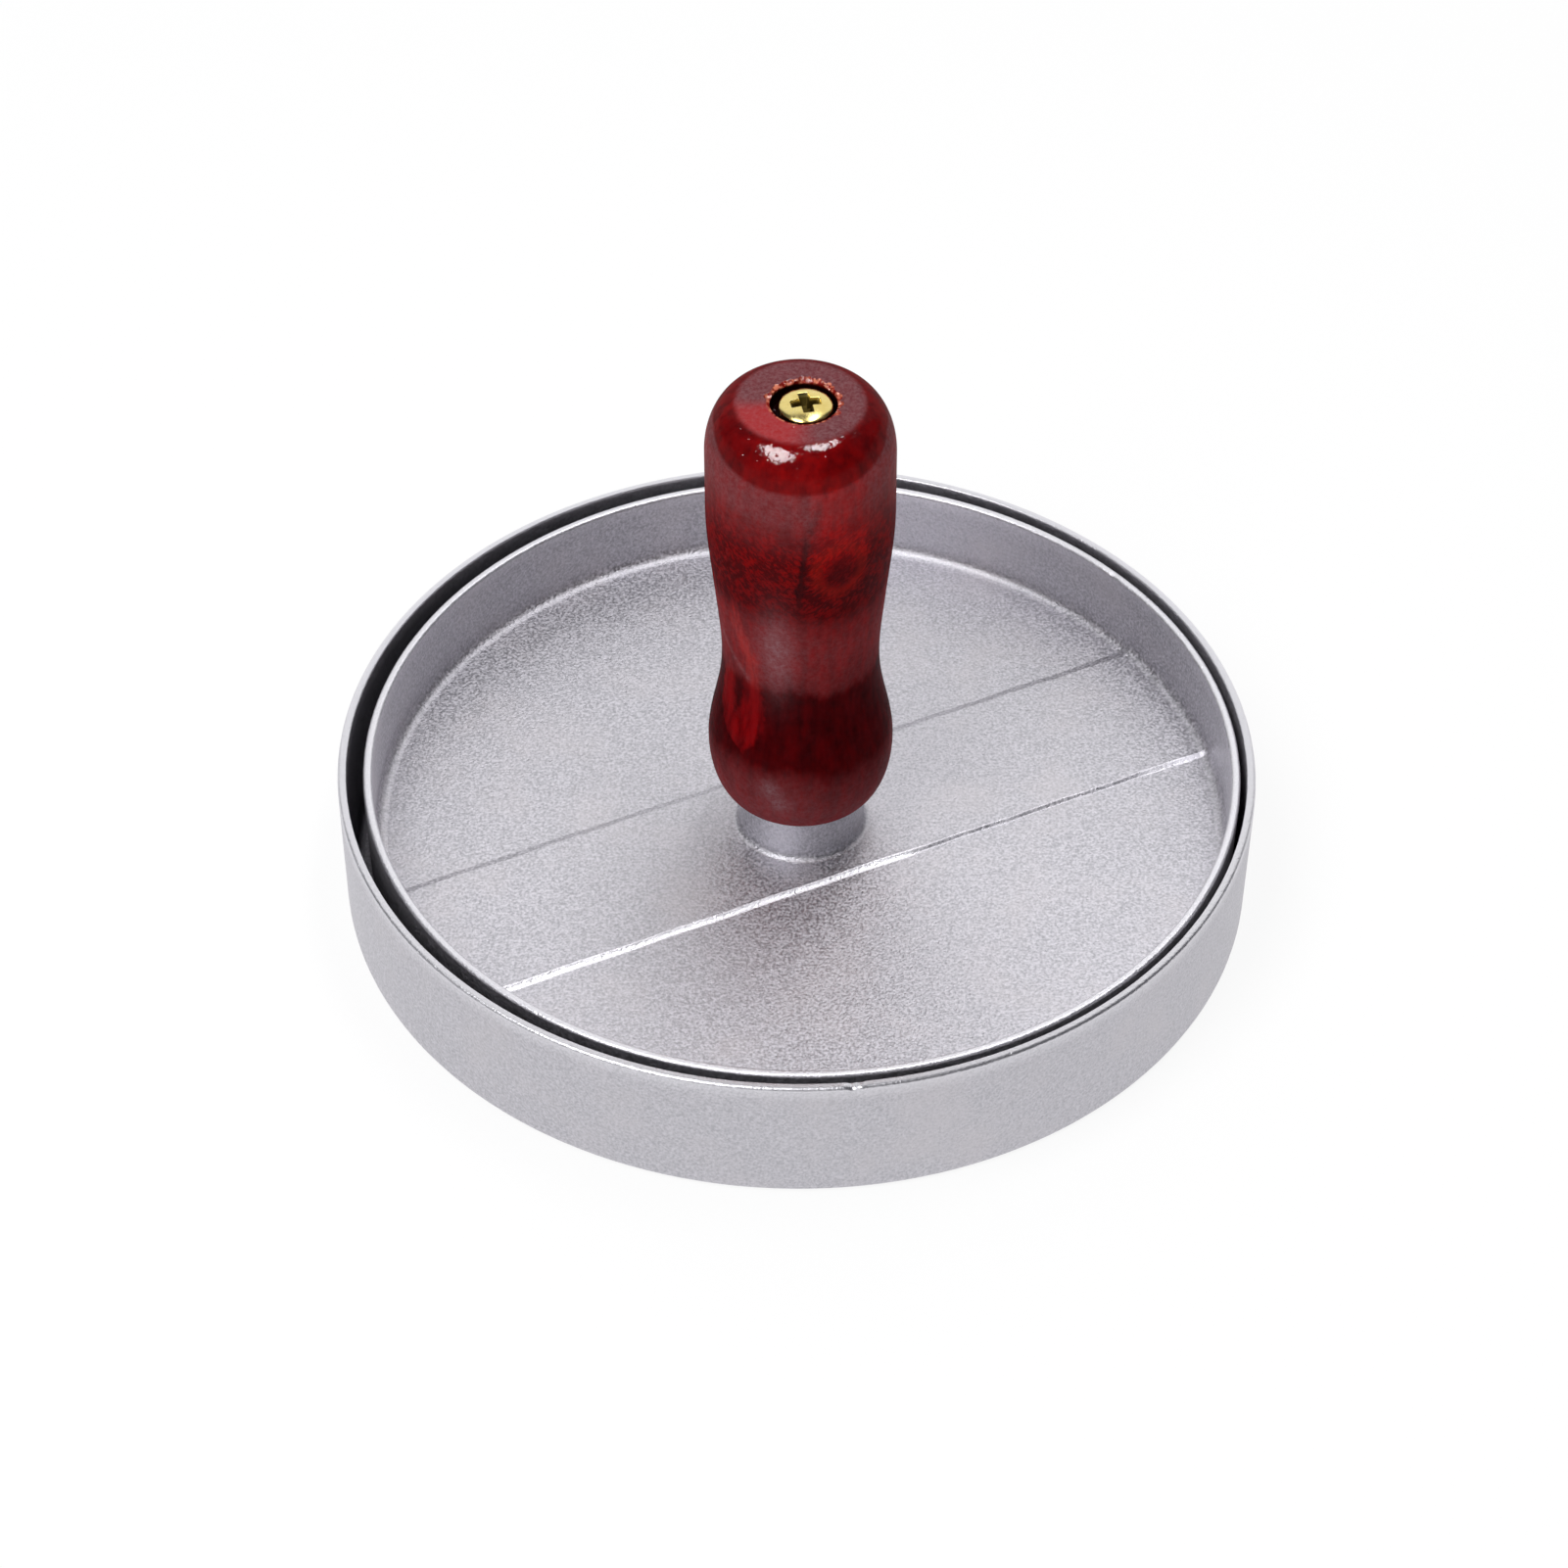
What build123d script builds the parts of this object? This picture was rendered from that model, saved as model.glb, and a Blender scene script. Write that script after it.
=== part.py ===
from build123d import *
from math import radians, sqrt, tan
import os

# A hand press for round burger patties. A shallow cast dish stands on the table, and a cast
# press plate with a turned wooden handle drops into it. The plate is drawn at rest: its ridges
# stand on the ridges of the dish, a little to one side of the middle, as it lies in the photo.
# The origin is the middle of the dish's underside, +Z is up, and lengths are in millimetres.

# Dish
DISH_OUTER_D = 125.0
DISH_HEIGHT = 19.7
DISH_WALL = 1.2
DISH_FLOOR = 2.3
DISH_OUTER_DRAFT = 1.5
DISH_INNER_DRAFT = 0.5
DISH_FOOT_ROUND = 1.0
DISH_FILLET = 1.5

# Grill ridges, in the dish and under the plate
RIDGE_RISE = 1.5
RIDGE_PITCH = 7.0
RIDGE_TOP_WIDTH = 1.4
RIDGE_ROOT_WIDTH = 2.6
RIDGE_END_GAP = 1.5
RIDGE_ROOT_DEPTH = 0.3

# Press plate
PLATE_GAP = 1.52
PLATE_WALL = 1.25
PLATE_FLOOR = 2.8
PLATE_DEPTH = 11.1
PLATE_OUTER_DRAFT = 2.0
PLATE_INNER_DRAFT = 0.5
PLATE_FOOT_ROUND = 0.8
PLATE_FILLET = 1.6
PLATE_TURN = 26.7
RIM_ROUND = 0.5

# Share of the gap that the loose plate lies towards +X and +Y of the middle
REST_SHARE_X = 0.46
REST_SHARE_Y = 0.13

# Raised band across the plate, and the boss on it
BAND_WIDTH = 23.2
BAND_RISE = 0.4
BAND_SLOPE_RUN = 0.7
BAND_SHIFT = -1.1
BOSS_TOP_D = 16.4
BOSS_RISE = 7.2
BOSS_DRAFT = 2.0
BOSS_FOOT_FILLET = 1.0
BOSS_EDGE_ROUND = 0.4

# Handle
HANDLE_D = 25.0
HANDLE_WAIST_D = 21.1
HANDLE_LENGTH = 66.1
HANDLE_TOP_FLAT_D = 15.6
HANDLE_END_D = 17.6
HANDLE_SHOULDER = 7.9
LOWER_BULGE_RISE = 8.8
WAIST_RISE = 25.3
UPPER_BULGE_DROP = 17.3
BORE_CLEARANCE = 0.3
COUNTERBORE_CLEARANCE = 0.9
COUNTERBORE_DEPTH = 2.2

# Flanks of the waist, each as a share of the way to a bulge and a share of the swelling there
LOWER_FLANK = (0.40, 0.21)
UPPER_FLANKS = ((0.27, 0.245), (0.57, 0.62))

# Pan-head screw with a cross recess, through the handle into the boss
SCREW_D = 4.0
SCREW_HEAD_D = 7.1
SCREW_HEAD_SIDE = 1.5
SCREW_HEAD_DOME = 0.8
SCREW_GRIP = 6.1
SCREW_TIP_ROUND = 0.5
THREAD_CLEARANCE = 0.05
TAP_END_GAP = 0.8
RECESS_SPAN = 4.3
RECESS_SLOT = 1.1
RECESS_DEPTH = 1.6
RECESS_FLOOR_SHARE = 0.42
RECESS_TURN = 12.0

# Levels at rest, from the table upwards
RIDGE_TOP = DISH_FLOOR + RIDGE_RISE
PLATE_UNDERSIDE = RIDGE_TOP + RIDGE_RISE
PLATE_FLOOR_TOP = PLATE_UNDERSIDE + PLATE_FLOOR
PLATE_TOP = PLATE_FLOOR_TOP + PLATE_DEPTH
BAND_TOP = PLATE_FLOOR_TOP + BAND_RISE
BOSS_TOP = BAND_TOP + BOSS_RISE
HANDLE_TOP = BOSS_TOP + HANDLE_LENGTH
SCREW_SEAT = HANDLE_TOP - COUNTERBORE_DEPTH
SCREW_TIP = BOSS_TOP - SCREW_GRIP
TAP_END = SCREW_TIP - TAP_END_GAP

# Radii that follow from the sizes above
DISH_RIM_R = DISH_OUTER_D / 2
DISH_MOUTH_R = DISH_RIM_R - DISH_WALL
DISH_FLOOR_R = DISH_MOUTH_R - (DISH_HEIGHT - DISH_FLOOR) * tan(radians(DISH_INNER_DRAFT))
PLATE_RIM_R = DISH_MOUTH_R - PLATE_GAP
PLATE_BASE_R = PLATE_RIM_R - (PLATE_TOP - PLATE_UNDERSIDE) * tan(radians(PLATE_OUTER_DRAFT))
PLATE_MOUTH_R = PLATE_RIM_R - PLATE_WALL
PLATE_FLOOR_R = PLATE_MOUTH_R - PLATE_DEPTH * tan(radians(PLATE_INNER_DRAFT))
BOSS_BASE_R = BOSS_TOP_D / 2 + BOSS_RISE * tan(radians(BOSS_DRAFT))

REST_PLACE = Location((REST_SHARE_X * PLATE_GAP, REST_SHARE_Y * PLATE_GAP, 0))


def turned(*corners):
    """A body turned about the Z axis. Each corner is a radius, a height and its rounding."""
    points = [(radius, height) for radius, height, _ in corners]
    rounds = [rounding for _, _, rounding in corners]
    outline = make_face(FilletPolyline(*points, radius=rounds, close=True))
    return revolve(Plane.XZ * outline, Axis.Z)


def rim_round(wall):
    """Rounding of a rim's two edges, held under half of its wall."""
    return min(RIM_ROUND, 0.45 * wall)


def bar(half_length, *section):
    """A straight bar along X, centred on the origin, from a section of (y, z) points."""
    face = Plane.YZ * make_face(Polyline(*section, close=True))
    return extrude(face, half_length, both=True)


def ridges(floor_radius, level, rise):
    """Parallel ridges along X on a round floor at a level. A negative rise points them down."""
    reach = floor_radius - RIDGE_END_GAP
    side = int((reach - RIDGE_ROOT_WIDTH) / RIDGE_PITCH)
    sunk = level - RIDGE_ROOT_DEPTH * (1 if rise > 0 else -1)
    bars = []
    for step in range(-side, side + 1):
        middle = step * RIDGE_PITCH
        half_length = sqrt(reach**2 - (abs(middle) + RIDGE_ROOT_WIDTH / 2) ** 2)
        bars.append(
            bar(
                half_length,
                (middle - RIDGE_ROOT_WIDTH / 2, sunk),
                (middle - RIDGE_ROOT_WIDTH / 2, level),
                (middle - RIDGE_TOP_WIDTH / 2, level + rise),
                (middle + RIDGE_TOP_WIDTH / 2, level + rise),
                (middle + RIDGE_ROOT_WIDTH / 2, level),
                (middle + RIDGE_ROOT_WIDTH / 2, sunk),
            )
        )
    return bars


def dish():
    """Shallow round dish with a drafted wall, a rounded foot and ridges on its floor."""
    foot_radius = DISH_RIM_R - DISH_HEIGHT * tan(radians(DISH_OUTER_DRAFT))
    rounding = rim_round(DISH_WALL)
    body = turned(
        (0, 0, 0),
        (foot_radius, 0, DISH_FOOT_ROUND),
        (DISH_RIM_R, DISH_HEIGHT, rounding),
        (DISH_MOUTH_R, DISH_HEIGHT, rounding),
        (DISH_FLOOR_R, DISH_FLOOR, DISH_FILLET),
        (0, DISH_FLOOR, 0),
    )
    return body + ridges(DISH_FLOOR_R - DISH_FILLET, DISH_FLOOR, RIDGE_RISE)


def pan():
    """The plate's floor and wall, without its band and boss."""
    rounding = rim_round(PLATE_WALL)
    return turned(
        (0, PLATE_UNDERSIDE, 0),
        (PLATE_BASE_R, PLATE_UNDERSIDE, PLATE_FOOT_ROUND),
        (PLATE_RIM_R, PLATE_TOP, rounding),
        (PLATE_MOUTH_R, PLATE_TOP, rounding),
        (PLATE_FLOOR_R, PLATE_FLOOR_TOP, PLATE_FILLET),
        (0, PLATE_FLOOR_TOP, 0),
    )


def band():
    """Low band across the plate along X, with sloped edges, ending inside the plate's wall."""
    low_half = BAND_WIDTH / 2 + BAND_SLOPE_RUN / 2
    top_half = BAND_WIDTH / 2 - BAND_SLOPE_RUN / 2
    sunk = PLATE_FLOOR_TOP - PLATE_FLOOR / 2
    strip = bar(
        PLATE_RIM_R,
        (BAND_SHIFT - low_half, sunk),
        (BAND_SHIFT - low_half, PLATE_FLOOR_TOP),
        (BAND_SHIFT - top_half, BAND_TOP),
        (BAND_SHIFT + top_half, BAND_TOP),
        (BAND_SHIFT + low_half, PLATE_FLOOR_TOP),
        (BAND_SHIFT + low_half, sunk),
    )
    inside_wall = PLATE_FLOOR_R + PLATE_WALL / 2
    return strip & Pos(0, 0, PLATE_FLOOR_TOP) * Cylinder(inside_wall, 2 * PLATE_FLOOR)


def boss():
    """Drafted boss on the band, with a filleted foot and a softly broken top edge."""
    sunk = PLATE_FLOOR_TOP - PLATE_FLOOR / 2
    foot_radius = BOSS_BASE_R + 1.5 * BOSS_FOOT_FILLET
    return turned(
        (0, sunk, 0),
        (foot_radius, sunk, 0),
        (foot_radius, BAND_TOP, 0),
        (BOSS_BASE_R, BAND_TOP, BOSS_FOOT_FILLET),
        (BOSS_TOP_D / 2, BOSS_TOP, BOSS_EDGE_ROUND),
        (0, BOSS_TOP, 0),
    )


def press_plate():
    """Round pan with a band and a tapped boss on top and ridges below, cast in one piece."""
    tap_radius = SCREW_D / 2 + THREAD_CLEARANCE
    tapped_hole = turned(
        (0, TAP_END, 0),
        (tap_radius, TAP_END, 0),
        (tap_radius, BOSS_TOP + BOSS_RISE, 0),
        (0, BOSS_TOP + BOSS_RISE, 0),
    )
    ridge_radius = PLATE_BASE_R - PLATE_FOOT_ROUND
    body = pan() + band() + boss() + ridges(ridge_radius, PLATE_UNDERSIDE, -RIDGE_RISE)
    return REST_PLACE * Rot(0, 0, PLATE_TURN) * (body - tapped_hole)


def handle():
    """Turned grip with a bulge at each end, a waist, a through bore and a counterbored top."""
    lower_bulge = BOSS_TOP + LOWER_BULGE_RISE
    waist = BOSS_TOP + WAIST_RISE
    upper_bulge = HANDLE_TOP - UPPER_BULGE_DROP
    shoulder = HANDLE_TOP - HANDLE_SHOULDER
    bulge_r = HANDLE_D / 2
    waist_r = HANDLE_WAIST_D / 2
    end_r = HANDLE_END_D / 2
    flat_r = HANDLE_TOP_FLAT_D / 2
    bore_r = SCREW_D / 2 + BORE_CLEARANCE
    counterbore_r = SCREW_HEAD_D / 2 + COUNTERBORE_CLEARANCE
    swelling = bulge_r - waist_r
    lower_flank = (
        waist_r + LOWER_FLANK[1] * swelling,
        waist + LOWER_FLANK[0] * (lower_bulge - waist),
    )
    upper_flanks = [
        (waist_r + swell * swelling, waist + share * (upper_bulge - waist))
        for share, swell in UPPER_FLANKS
    ]
    end_round = EllipticalCenterArc(
        (end_r, lower_bulge), bulge_r - end_r, LOWER_BULGE_RISE, start_angle=-90, arc_size=90
    )
    grip = Spline(
        (bulge_r, lower_bulge),
        lower_flank,
        (waist_r, waist),
        *upper_flanks,
        (bulge_r, upper_bulge),
        tangents=((0, 1), (0, 1)),
    )
    side = Line((bulge_r, upper_bulge), (bulge_r, shoulder))
    top_round = EllipticalCenterArc(
        (flat_r, shoulder), bulge_r - flat_r, HANDLE_SHOULDER, start_angle=0, arc_size=90
    )
    inside = Polyline(
        (flat_r, HANDLE_TOP),
        (counterbore_r, HANDLE_TOP),
        (counterbore_r, SCREW_SEAT),
        (bore_r, SCREW_SEAT),
        (bore_r, BOSS_TOP),
        (end_r, BOSS_TOP),
    )
    outline = make_face(end_round + grip + side + top_round + inside)
    return REST_PLACE * revolve(Plane.XZ * outline, Axis.Z)


def cross(span, slot):
    """Cross of two slots, each as long as the span."""
    return Rectangle(span, slot) + Rectangle(slot, span)


def handle_screw():
    """Pan-head screw: a plain shank for its thread, a domed head and a tapering cross recess."""
    head_r = SCREW_HEAD_D / 2
    head_edge = SCREW_SEAT + SCREW_HEAD_SIDE
    head_top = head_edge + SCREW_HEAD_DOME
    shank_r = SCREW_D / 2
    outline = make_face(
        Polyline(
            (0, head_top),
            (0, SCREW_TIP),
            (shank_r - SCREW_TIP_ROUND, SCREW_TIP),
            (shank_r, SCREW_TIP + SCREW_TIP_ROUND),
            (shank_r, SCREW_SEAT),
            (head_r, SCREW_SEAT),
            (head_r, head_edge),
        )
        + EllipticalCenterArc((0, head_edge), head_r, SCREW_HEAD_DOME, start_angle=0, arc_size=90)
    )
    body = revolve(Plane.XZ * outline, Axis.Z)
    mouth = cross(RECESS_SPAN, RECESS_SLOT)
    floor = cross(RECESS_SPAN * RECESS_FLOOR_SHARE, RECESS_SLOT * RECESS_FLOOR_SHARE)
    recess = loft([Pos(0, 0, head_top) * mouth, Pos(0, 0, head_top - RECESS_DEPTH) * floor])
    return REST_PLACE * Rot(0, 0, RECESS_TURN) * (body - recess)


PIECES = {
    "mould_dish": dish,
    "press_plate": press_plate,
    "handle": handle,
    "handle_screw": handle_screw,
}

os.makedirs("parts", exist_ok=True)
for name, make in PIECES.items():
    piece = make()
    export_step(piece, f"parts/{name}.step")
    print(name, "volume", round(piece.volume), "mm3")
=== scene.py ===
# %% [markdown]
# # A burger press, dressed over its CAD frame
#
# The press is two aluminium castings and a turned wooden grip: a shallow dish that stands on the
# table, and a plate that drops into it, with the grip held on the plate's boss by one long screw.
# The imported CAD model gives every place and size. This lesson builds finer surfaces over it with
# numpy, gives them procedural finishes, and lights them as a small product studio would.

import math

import bpy
import numpy as np
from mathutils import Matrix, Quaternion, Vector


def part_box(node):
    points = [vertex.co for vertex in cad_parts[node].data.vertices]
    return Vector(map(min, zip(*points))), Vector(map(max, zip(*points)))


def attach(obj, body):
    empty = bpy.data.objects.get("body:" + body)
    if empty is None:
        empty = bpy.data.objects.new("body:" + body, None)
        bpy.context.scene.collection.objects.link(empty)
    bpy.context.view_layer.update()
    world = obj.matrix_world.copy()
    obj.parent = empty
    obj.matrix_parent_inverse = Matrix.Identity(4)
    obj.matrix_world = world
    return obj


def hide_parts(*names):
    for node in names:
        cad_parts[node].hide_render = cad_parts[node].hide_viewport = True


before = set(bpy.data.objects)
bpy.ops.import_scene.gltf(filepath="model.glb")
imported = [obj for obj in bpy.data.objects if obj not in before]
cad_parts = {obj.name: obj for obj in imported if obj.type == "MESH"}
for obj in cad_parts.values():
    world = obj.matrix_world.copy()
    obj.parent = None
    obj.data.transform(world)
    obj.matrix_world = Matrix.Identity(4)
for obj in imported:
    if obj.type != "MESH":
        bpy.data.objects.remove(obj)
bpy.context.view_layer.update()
MM = 0.001
print("CAD nodes", sorted(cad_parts))


# %% [markdown]
# ## Reading sizes from the frame
#
# Each piece of this scene stands for one CAD node, so its main sizes are read from that node's
# box. Whatever the box can't tell, such as a wall's thickness, is named here once, in millimetres.

# %% Sizes in millimetres
def box_mm(node):
    """Lowest and highest corner of a CAD node, in millimetres."""
    low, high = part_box(node)
    return np.array(low) / MM, np.array(high) / MM


dish_low, dish_high = box_mm("mould_dish")
plate_low, plate_high = box_mm("press_plate")
grip_low, grip_high = box_mm("handle")
screw_low, screw_high = box_mm("handle_screw")

PLATE_MIDDLE = (plate_low + plate_high)[:2] / 2
PLATE_TURN_DEGREES = 26.7
PLATE_TURN = math.radians(PLATE_TURN_DEGREES)

OUTER_DRAFT = math.tan(math.radians(1.5))
INNER_DRAFT = math.tan(math.radians(0.5))
PLATE_DRAFT = math.tan(math.radians(2.0))

DISH_RIM_R = 62.5
DISH_TOP = dish_high[2]
DISH_WALL = 1.2
DISH_FLOOR = 2.3
DISH_FILLET = 1.5
DISH_FOOT_R = DISH_RIM_R - DISH_TOP * OUTER_DRAFT
DISH_MOUTH_R = DISH_RIM_R - DISH_WALL
DISH_FLOOR_R = DISH_MOUTH_R - (DISH_TOP - DISH_FLOOR) * INNER_DRAFT

PLATE_GAP = 1.52
PLATE_RIM_R = DISH_MOUTH_R - PLATE_GAP
PLATE_WALL = 1.25
PLATE_TOP = 19.2
PLATE_UNDERSIDE = 5.3
PLATE_FLOOR = 8.1
PLATE_FILLET = 1.6
PLATE_EDGE = 0.8
PLATE_BASE_R = PLATE_RIM_R - (PLATE_TOP - PLATE_UNDERSIDE) * PLATE_DRAFT
PLATE_MOUTH_R = PLATE_RIM_R - PLATE_WALL
PLATE_FLOOR_R = PLATE_MOUTH_R - (PLATE_TOP - PLATE_FLOOR) * INNER_DRAFT

RIDGE_RISE = 1.5
RIDGE_PITCH = 7.0
RIDGE_TOP_HALF = 0.7
RIDGE_ROOT_HALF = 1.3
RIDGE_SOFT = 0.1
RIDGE_END = 0.9
RIDGE_MARGIN = 1.5

BAND_MIDDLE = -1.1
BAND_HALF = 11.6
BAND_RISE = 0.4
BOSS_TOP = 15.7
BOSS_TOP_R = 8.2

print("plate middle", PLATE_MIDDLE.round(2), "grip", grip_low.round(2), grip_high.round(2))


# %% [markdown]
# ## From a numpy grid to a mesh
#
# A surface is a grid of points: rows along its profile, columns round its axis. One helper turns
# such arrays into a Blender mesh, smooth-shaded, with its place in the mesh and the object at the
# origin, so patterns on object coordinates stay put when the press moves.

# %% Mesh helper
def new_piece(name, points, faces, marks=None):
    """A mesh object from points in millimetres, index arrays of faces and named point values."""
    mesh = bpy.data.meshes.new(name)
    mesh.from_pydata((points * MM).tolist(), [], [f for block in faces for f in block.tolist()])
    mesh.polygons.foreach_set("use_smooth", np.ones(len(mesh.polygons), bool))
    for mark, values in (marks or {}).items():
        mesh.attributes.new(mark, "FLOAT", "POINT").data.foreach_set("value", values)
    mesh.validate()
    piece = bpy.data.objects.new(name, mesh)
    bpy.context.scene.collection.objects.link(piece)
    print(name, len(points), "points", sum(len(p.vertices) - 2 for p in mesh.polygons), "triangles")
    return piece


def index_grid(points):
    """The number of each point of a grid of points, row by row."""
    return np.arange(points[..., 0].size).reshape(points.shape[:2])


def grid_quads(index):
    """Quads between the neighbouring rows and columns of an index grid."""
    return np.stack([index[:-1, :-1], index[:-1, 1:], index[1:, 1:], index[1:, :-1]], axis=-1)


def ring_quads(index):
    """Quads between the rows of an index grid whose columns go once round and close."""
    nxt = np.roll(index, -1, axis=1)
    return np.stack([index[:-1], index[1:], nxt[1:], nxt[:-1]], axis=-1).reshape(-1, 4)


def round_skin(name, rings, downward, marks=None):
    """A closed skin over stacked rings, with a pole in the middle of the first and the last ring.

    Its faces are written for rings that run from the top down, and turned over where they don't.
    """
    index = index_grid(rings)
    first, last = index[0], index[-1]
    faces = [
        ring_quads(index),
        np.stack([first, np.roll(first, -1), 0 * first + index.size], axis=-1),
        np.stack([np.roll(last, -1), last, 0 * last + index.size + 1], axis=-1),
    ]
    if not downward:
        faces = [block[:, ::-1] for block in faces]
    poles = rings[[0, -1]].mean(axis=1)
    return new_piece(name, np.concatenate([rings.reshape(-1, 3), poles]), faces, marks)


# %% [markdown]
# ## Profiles with rounded corners
#
# Die-cast and turned parts have no sharp corners. A profile is written as corners with a rounding
# each, and every rounding becomes a circular arc that is tangent to both of its sides. A point is
# held close to each end of an arc, so that smooth shading bends over the arc and nowhere else.

# %% Profile helpers
def rounded(corners, steps=6, hold=0.05):
    """Points of a profile from (radius, height, rounding) corners, arcs in place of corners.

    An arc touches each side at its rounding over the tangent of half the corner's angle. Its
    points blend the radii to those two places by the sines of the angles from them.
    """
    path = [np.array(corners[0][:2], float)]
    for before, corner, after in zip(corners, corners[1:], corners[2:]):
        at = np.array(corner[:2], float)
        to_before = np.array(before[:2]) - at
        to_after = np.array(after[:2]) - at
        to_before /= np.linalg.norm(to_before)
        to_after /= np.linalg.norm(to_after)
        half = math.acos(np.clip(to_before @ to_after, -1, 1)) / 2
        if corner[2] == 0:
            path.append(at)
            continue
        reach = corner[2] / math.tan(half)
        inward = (to_before + to_after) / np.linalg.norm(to_before + to_after)
        middle = at + inward * (corner[2] / math.sin(half))
        start = at + to_before * reach - middle
        end = at + to_after * reach - middle
        turn = math.pi - 2 * half
        share = np.linspace(0, 1, steps + 1)[:, None]
        arc = (np.sin((1 - share) * turn) * start + np.sin(share * turn) * end) / math.sin(turn)
        path.append(at + to_before * (reach + hold))
        path.extend(middle + arc)
        path.append(at + to_after * (reach + hold))
    path.append(np.array(corners[-1][:2], float))
    return np.array(path)


def divided(path, longest):
    """The same profile with every span longer than this cut into equal parts."""
    spans = np.linalg.norm(np.diff(path, axis=0), axis=1)
    out = [path[:1]]
    for a, b, span in zip(path, path[1:], spans):
        share = np.linspace(0, 1, max(1, math.ceil(span / longest)) + 1)[1:, None]
        out.append(a + (b - a) * share)
    return np.concatenate(out)


def ease(x):
    """Smooth step from 0 at x = 0 to 1 at x = 1, level at both ends."""
    x = np.clip(x, 0, 1)
    return x * x * (3 - 2 * x)


# %% [markdown]
# ## A round casting with patterned floors
#
# Both castings are round pans whose floors carry straight features: grill ridges, and on the plate
# a raised band. Rings and spokes would cut such lines into steps. So each floor is a grid whose
# rows are chords parallel to the lines, and each row ends in two points of the wall's ring. A row
# at angle a sits at radius times sin(a), which spaces the ring's points evenly. The wall between
# the two floors is a profile carried round the same ring, so the whole casting is one closed skin.

# %% Round casting
def ring_angles(rows):
    """Angles of the ring's points from the row angles: up the right side, then down the left."""
    return np.concatenate([rows, (math.pi - rows[1:-1])[::-1]])


CLOSEST_ROWS = 0.0006


def floor_rows(lines, radius, coarse):
    """Row angles of a floor: the arcsines of its lines' places, and an even spread of others."""
    lines = lines[np.abs(lines) < radius * 0.999]
    angles = np.unique(np.round(np.concatenate([np.arcsin(lines / radius), coarse]), 5))
    return angles[np.concatenate([[True], np.diff(angles) > CLOSEST_ROWS])]


def round_casting(name, rows, wall, top, bottom, polish_and_highlight, gap_shade_and_tone, rub_and_highlight=None, columns=(70, 12)):
    """One closed skin from row angles, the wall's ring grid, and the heights of both floors.

    wall is an array of rings, each (ring point, xyz), from the top floor's edge over the rim to
    the bottom floor's edge. top and bottom give a floor's height from x and y arrays. The next two
    arguments are values from 0 to 1, one for each wall ring, and become point attributes: the rims'
    polish, and the gap's painted shade with the dish's darker tone. The optional floor function
    gives the top floor's polish and painted highlight from x and y arrays. columns counts the cells
    across each floor.
    """
    count = len(rows)
    levels, ring = wall.shape[:2]
    side = index_grid(wall)
    points = [wall.reshape(-1, 3)]
    faces = [ring_quads(side)]
    used = levels * ring
    polish_and_highlight = [np.repeat(polish_and_highlight, ring)]
    for edge, height, upward in ((0, top, True), (levels - 1, bottom, False)):
        cells = columns[0] if upward else columns[1]
        across = np.sin(np.linspace(-0.5, 0.5, cells + 1) * math.pi)
        rim = wall[edge]
        right = rim[1 : count - 1]
        left = rim[: count - 1 : -1]
        share = (across[1:-1] + 1) / 2
        inner = left[:, None] + (right - left)[:, None] * share[None, :, None]
        inner[..., 2] = height(inner[..., 0], inner[..., 1])
        index = np.empty((count, cells + 1), int)
        index[0] = side[edge, 0]
        index[-1] = side[edge, count - 1]
        index[1:-1, 0] = side[edge, : count - 1 : -1]
        index[1:-1, -1] = side[edge, 1 : count - 1]
        index[1:-1, 1:-1] = used + index_grid(inner)
        used += inner[..., 0].size
        points.append(inner.reshape(-1, 3))
        rubbed_and_highlit = rub_and_highlight(inner[..., 0], inner[..., 1]) if rub_and_highlight and upward else 0 * inner[..., 0]
        polish_and_highlight.append(rubbed_and_highlit.ravel())
        quads = grid_quads(index)
        first = quads[0][:, [0, 2, 3]]
        last = quads[-1][:, [0, 1, 2]]
        blocks = [quads[1:-1].reshape(-1, 4), first, last]
        faces += blocks if upward else [block[:, ::-1] for block in blocks]
    # Painted shade in the gap and the dish's darker tone lie on the wall; the floors get none.
    gap_shade_and_tone = np.concatenate([np.repeat(gap_shade_and_tone, ring), np.zeros(used - levels * ring)])
    marks = {"polish_and_highlight": np.concatenate(polish_and_highlight), "gap_shade_and_tone": gap_shade_and_tone}
    return new_piece(name, np.concatenate(points), faces, marks)


# %% Rings and pans
def carried_round(profile, angles):
    """Rings of points: a (radius, height) profile carried round the Z axis."""
    r, z = profile[:, :1], profile[:, 1:]
    return np.stack([r * np.cos(angles), r * np.sin(angles), z + 0 * angles], axis=-1)


def pan_profile(floor, mouth, rim, base):
    """Profile of a pan's wall, from the (radius, height, rounding) of its four corners.

    It starts on the top floor beside the fillet, goes over the rim and ends on the bottom floor.
    """
    start = (floor[0] - floor[2] - 1, floor[1], 0)
    end = (base[0] - 2, base[1], 0)
    return divided(rounded([start, floor, mouth, rim, base, end]), 2.0)[2:]


def placed_on_plate(points):
    """Points of the plate's own frame turned and moved to where the plate rests in the dish."""
    c, s = math.cos(PLATE_TURN), math.sin(PLATE_TURN)
    out = points.copy()
    out[..., 0] = c * points[..., 0] - s * points[..., 1] + PLATE_MIDDLE[0]
    out[..., 1] = s * points[..., 0] + c * points[..., 1] + PLATE_MIDDLE[1]
    return out


# %% [markdown]
# ## Grill ridges
#
# Ridges mark the patty and let it come away from the metal. Across the line, a ridge is an eased
# slope from its root up to its flat top. Along the line it fades at both ends, as a pattern that
# was milled into the die does.

# %% Ridge height
def ridges_beside_middle(reach):
    """How many ridges fit beside the middle one: the reach, less a ridge, over the pitch."""
    return int((reach - RIDGE_ROOT_HALF * 2) / RIDGE_PITCH)


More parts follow.
